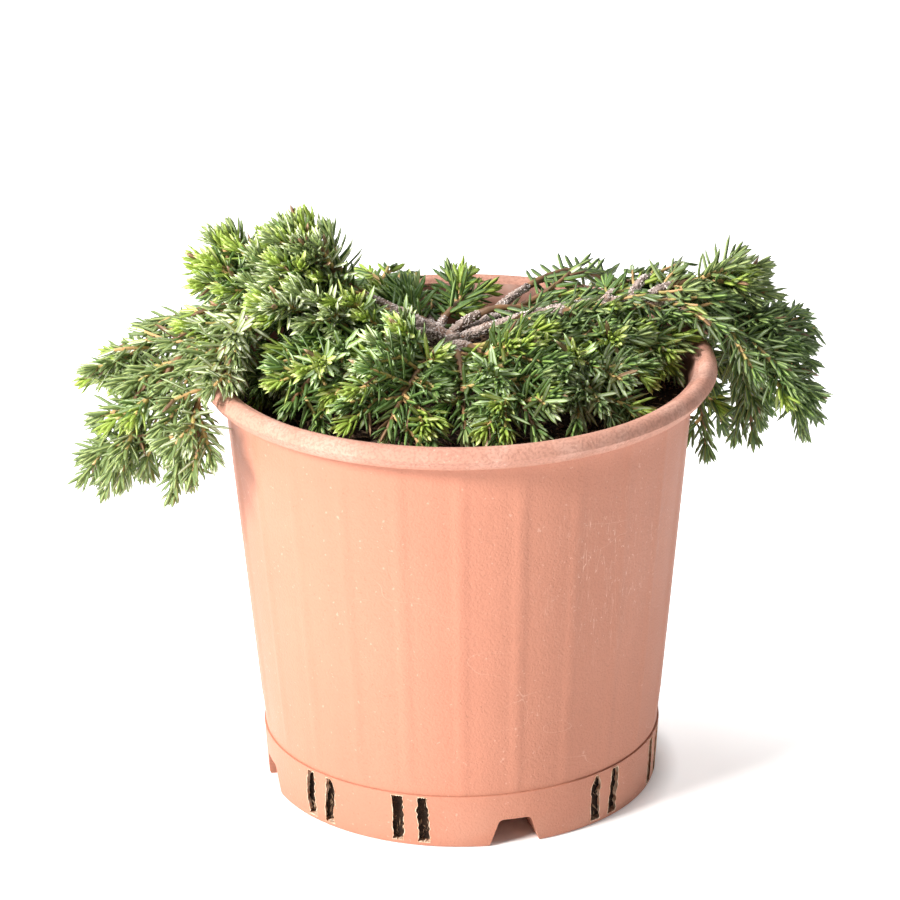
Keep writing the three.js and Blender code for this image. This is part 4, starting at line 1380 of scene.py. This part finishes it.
def needles_of(shoot, settings, random):
    """Places, directions, upper sides, lengths and tints of a shoot's needles."""
    full = settings.needle_length / MM
    whorls = max(2, int(round(shoot.length * (1 - shoot.bare) / (settings.whorl_gap / MM))))
    row = np.repeat(np.arange(whorls), 3)
    count = len(row)
    share = shoot.bare + (1 - shoot.bare) * (row + 0.5) / whorls
    share = np.clip(share + random.normal(0, WHORL["shift"], count), 0, 1)
    turn = shoot.phase + row * math.radians(WHORL["turn"])
    turn = turn + np.tile(np.arange(3), whorls) * 2 * math.pi / 3
    turn = turn + random.normal(0, WHORL["swing"], count)
    turn = turn + WHORL["flat"] * np.sin(2 * turn)
    along = row / max(whorls - 1, 1)
    lean = np.radians(WHORL["lean"] - WHORL["less"] * along ** 2)
    lean = lean + random.normal(0, WHORL["nod"], count)
    size = full * random.uniform(*WHORL["size"], count) * (1 - WHORL["shorter"] * along ** 3)
    size = size * (WHORL["on_twig"] if shoot.order == SMALL else 1.0)
    tips = TUFT["count"]
    tip_lean = np.radians(np.linspace(*TUFT["lean"], tips)) + random.normal(0, TUFT["nod"], tips)
    share = np.concatenate([share, np.full(tips, TUFT["place"])])
    turn = np.concatenate([turn, shoot.phase + np.arange(tips) * TUFT["turn"]])
    lean = np.concatenate([lean, tip_lean])[:, None]
    size = np.concatenate([size, full * random.uniform(*TUFT["size"], tips)])
    place, tangent = shoot.path.point(share), shoot.path.tangent(share)
    outward = outward_from(tangent, shoot.reference, turn)
    direction = tangent * np.cos(lean) + outward * np.sin(lean)
    upper = unit(tangent - direction * (tangent * direction).sum(axis=1, keepdims=True))
    names = list(TINTS)
    tint = np.full(len(share), names.index(shoot.limb.tint))
    if shoot.fresh:
        young = shoot.length * (1 - share) < TUFT["fresh"]
        tint[young], tint[~young] = names.index("fresh"), names.index("mid")
    elif random.uniform() < TUFT["paler"]:
        tint[-tips:] = min(names.index("pale"), tint[0] + 1)
    tint[random.uniform(0, 1, len(share)) < TUFT["dry"]] = names.index("dry")
    ends = place + direction * size[:, None]
    level, start, slope = LOOK.get(shoot.limb.name, {}).get("ceiling", (math.inf, 0, 0))
    ceiling = level - slope * np.maximum(0, np.abs(ends[:, 0]) - start)
    if shoot.order == LONE:
        ceiling = np.minimum(ceiling, shoot.path.point(0)[2] + SPRIG["rise"])
    return [part[ends[:, 2] < ceiling] for part in (place, direction, upper, size, tint)]


def hub_room(points):
    """Room between points and the clearing over the bare hub, on its front side."""
    hub = trunk_path().point(1) + HUB["shift"]
    view = tilted(np.array([0.0, -1.0, 0.0]), HUB["slope"])
    centres = hub + view * np.array(HUB["steps"])[:, None]
    away = np.linalg.norm((points[:, None] - centres[None]) / np.array(HUB["shape"]), axis=-1)
    return away.min(axis=1) - HUB["radius"]


def needle_rows(masses, settings):
    """All needles that stay clear of pot, compost and hub, as arrays."""
    random = np.random.RandomState(settings.seed)
    rows = [needles_of(shoot, settings, random) for shoots in masses for shoot in shoots]
    rows = [np.concatenate(parts) for parts in zip(*rows)]
    place, direction, _, size, _ = rows
    low = np.array(CAD_BOX[0]) / MM - CLEAR["over"]
    high = np.array(CAD_BOX[1]) / MM + CLEAR["over"]
    keep = np.ones(len(place), bool)
    for share in NEEDLE["probes"]:
        at = place + direction * (size * share)[:, None]
        keep &= (pot_room(at) > CLEAR["needle_pot"]) & (soil_room(at) > CLEAR["needle_soil"])
        keep &= ((at > low) & (at < high)).all(axis=1) & (hub_room(at) > 0)
    return [part[keep] for part in rows]


def needle_mesh(name, rows, width, materials):
    place, direction, upper, size = rows
    template, faces, bands = needle_template()
    side = np.cross(direction, upper)
    narrow = NEEDLE["narrowest"]
    wide = (width * (narrow + (1 - narrow) * size / size.max()))[:, None]
    sideways, along, above = template.T[:, None]
    bend = NEEDLE["bend"] * size[:, None] * along ** 2
    points = (place[:, None] + direction[:, None] * (along * size[:, None])[..., None]
              + side[:, None] * (sideways * wide)[..., None]
              + upper[:, None] * (above * wide + bend)[..., None])
    base = (np.arange(len(place)) * len(template))[:, None, None]
    faces = [(part[None] + base).reshape(-1, part.shape[1]) for part in faces]
    marks = [np.tile(part, len(place)) for part in bands]
    return mesh_from_arrays(name, points.reshape(-1, 3) * MM, faces, marks, materials)


def make_foliage(settings):
    limbs = lay_out_limbs()
    space = Space(limbs)
    masses = [grow_mass(space, i, limb, settings.fullness) for i, limb in enumerate(limbs)]
    old = twig_material("Two Year Twigs", (0.24, 0.12, 0.05), (0.12, 0.07, 0.04))
    young = twig_material("Young Twigs", tuple(settings.shoot), (0.3, 0.3, 0.07))
    tubes = {"twigs": [], "young_twigs": []}
    for shoot in (shoot for shoots in masses for shoot in shoots):
        def radius(share, turn, shoot=shoot):
            taper = shoot.root + share * (shoot.end - shoot.root)
            ripple = np.sin(share * shoot.length * TUBE["ripples"] + turn * TUBE["lobes"])
            return taper * (1 + TUBE["ripple"] * ripple)
        rings = max(TUBE["rings"], int(shoot.length / TUBE["pitch"]))
        tubes["young_twigs" if shoot.order else "twigs"].append(
            tube_arrays(shoot.path, shoot.reference, radius, TUBE["sides"], rings))
    finish_piece(joined_tubes("twigs", tubes["twigs"], old), "twigs", FOLIAGE)
    finish_piece(joined_tubes("young_twigs", tubes["young_twigs"], young), "young_twigs")

    *rows, tint = needle_rows(masses, settings)
    for number, (name, colours) in enumerate(TINTS.items()):
        materials = [needle_material(f"{label} {name.title()}", colour, roughness)
                     for (label, roughness), colour in zip(NEEDLE_SKINS, colours)]
        chosen = np.flatnonzero(tint == number)
        pieces = max(1, math.ceil(len(chosen) / NEEDLE["most"]))
        for piece, part in enumerate(np.array_split(chosen, pieces)):
            label = f"needles_{name}_{piece + 1}"
            mesh = needle_mesh(
                label, [row[part] for row in rows], settings.needle_width / MM, materials)
            finish_piece(mesh, label)


# Stage

# Lights: place, the point each shines at, size, power and colour
LIGHTS = {
    "key": ((-1.72, -1.24, 1.4), (0, 0, 0.12), 0.75, 118, (1, 0.98, 0.95)),
    "fill": ((1.6, -1.2, 0.9), (0, 0, 0.12), 1.4, 0.4, (0.95, 0.98, 1)),
    "top": ((-0.2, 0.6, 1.9), (0, 0, 0.15), 1.2, 26, (1, 1, 1)),
}
STAGE = {"aim": (-3.95 * MM, 0, 147.3 * MM), "floor": 8, "stain": 0.985, "world": 0.22,
         "sensor": 36, "near": 0.05}
WHITE = (1, 1, 1, 1)


def area_light(name, place, target, size, energy, colour):
    light = bpy.data.lights.new(name, 'AREA')
    light.shape, light.size, light.energy, light.color = 'DISK', size, energy, colour
    lamp = bpy.data.objects.new(name, light)
    lamp.location = place
    lamp.rotation_euler = (Vector(target) - Vector(place)).to_track_quat('-Z', 'Y').to_euler()
    bpy.context.collection.objects.link(lamp)


def make_stage(settings):
    deselect_all()
    bpy.ops.mesh.primitive_plane_add(size=STAGE["floor"], location=(0, 0, 0))
    floor = bpy.context.object
    floor.name = "floor"
    work = Shader("Pale Floor", tuple(settings.floor), 0.7)
    work.mix(work.mottle(3.0, 0.2, 0.8), shaded(settings.floor, STAGE["stain"]))
    reach = node(work.tree, 'ShaderNodeVectorMath', operation='LENGTH')
    work.link(work.vector, reach.inputs[0])
    glow = work.ramp(reach.outputs["Value"], *FLOOR_GLOW["edge"], 0, FLOOR_GLOW["strength"])
    work.link(glow, work.shader.inputs["Emission Strength"])
    work.shader.inputs["Emission Color"].default_value = WHITE
    floor.data.materials.append(work.done())

    scene = bpy.context.scene
    world = bpy.data.worlds.new("Studio")
    world.use_nodes = True
    background = world.node_tree.nodes["Background"].inputs
    background["Color"].default_value = WHITE
    background["Strength"].default_value = STAGE["world"]
    scene.world = world
    scene.view_settings.view_transform = 'Standard'
    for name, values in LIGHTS.items():
        area_light(name, *values)

    lift = settings.elevation
    camera_data = bpy.data.cameras.new("camera")
    camera_data.lens = settings.lens
    camera_data.sensor_width, camera_data.clip_start = STAGE["sensor"], STAGE["near"]
    camera = bpy.data.objects.new("camera", camera_data)
    away = Vector((0, -math.cos(lift), math.sin(lift))) * settings.distance
    camera.location = Vector(STAGE["aim"]) + away
    turn = Euler((math.pi / 2 - lift, 0, 0)).to_matrix()
    roll = Euler((0, 0, settings.roll)).to_matrix()
    camera.rotation_euler = (turn @ roll).to_euler()
    bpy.context.collection.objects.link(camera)
    scene.camera = camera


# Operators and panel

class Step:
    """Runs one function on one group of settings"""

    def execute(self, context):
        self.build(getattr(context.scene, self.group))
        return {'FINISHED'}


class JUNIPER_OT_pot(Step, bpy.types.Operator):
    """Model the terracotta-coloured pot with its notches and drainage slots"""
    bl_idname, bl_label = "juniper.pot", "Pot"
    group, build = "juniper_pot", staticmethod(make_pot)


class JUNIPER_OT_compost(Step, bpy.types.Operator):
    """Fill the pot with lumpy, fibrous compost"""
    bl_idname, bl_label = "juniper.compost", "Compost"
    group, build = "juniper_pot", staticmethod(make_compost)


class JUNIPER_OT_wood(Step, bpy.types.Operator):
    """Model the trunk and the bare boughs with their bark"""
    bl_idname, bl_label = "juniper.wood", "Trunk and Boughs"
    group, build = "juniper_plant", staticmethod(make_wood)


class JUNIPER_OT_foliage(Step, bpy.types.Operator):
    """Grow the twigs and needles of every mass of foliage"""
    bl_idname, bl_label = "juniper.foliage", "Twigs and Needles"
    group, build = "juniper_plant", staticmethod(make_foliage)


class JUNIPER_OT_stage(Step, bpy.types.Operator):
    """Set up the floor, the lights and the camera"""
    bl_idname, bl_label = "juniper.stage", "Stage"
    group, build = "juniper_stage", staticmethod(make_stage)


class JUNIPER_PT_panel(bpy.types.Panel):
    """Sizes, colours and steps of the potted juniper"""
    bl_idname = "JUNIPER_PT_panel"
    bl_label = "Potted Shore Juniper"
    bl_space_type = 'VIEW_3D'
    bl_region_type = 'UI'
    bl_category = "Juniper"

    def draw(self, context):
        layout = self.layout
        scene = context.scene
        for settings in (scene.juniper_plant, scene.juniper_pot, scene.juniper_stage):
            for name in settings.__annotations__:
                layout.prop(settings, name)
        for step in STEPS:
            layout.operator(step.bl_idname)


STEPS = (JUNIPER_OT_pot, JUNIPER_OT_compost, JUNIPER_OT_wood, JUNIPER_OT_foliage, JUNIPER_OT_stage)
CLASSES = (JuniperPlantSettings, JuniperPotSettings, JuniperStageSettings, *STEPS, JUNIPER_PT_panel)


def register():
    for item in CLASSES:
        bpy.utils.register_class(item)
    bpy.types.Scene.juniper_plant = PointerProperty(type=JuniperPlantSettings)
    bpy.types.Scene.juniper_pot = PointerProperty(type=JuniperPotSettings)
    bpy.types.Scene.juniper_stage = PointerProperty(type=JuniperStageSettings)


def unregister():
    del bpy.types.Scene.juniper_plant
    del bpy.types.Scene.juniper_pot
    del bpy.types.Scene.juniper_stage
    for item in reversed(CLASSES):
        bpy.utils.unregister_class(item)


def main():
    register()
    bpy.ops.juniper.pot()
    bpy.ops.juniper.compost()
    bpy.ops.juniper.wood()
    bpy.ops.juniper.foliage()
    bpy.ops.juniper.stage()
    deselect_all()


if __name__ == "__main__":
    main()
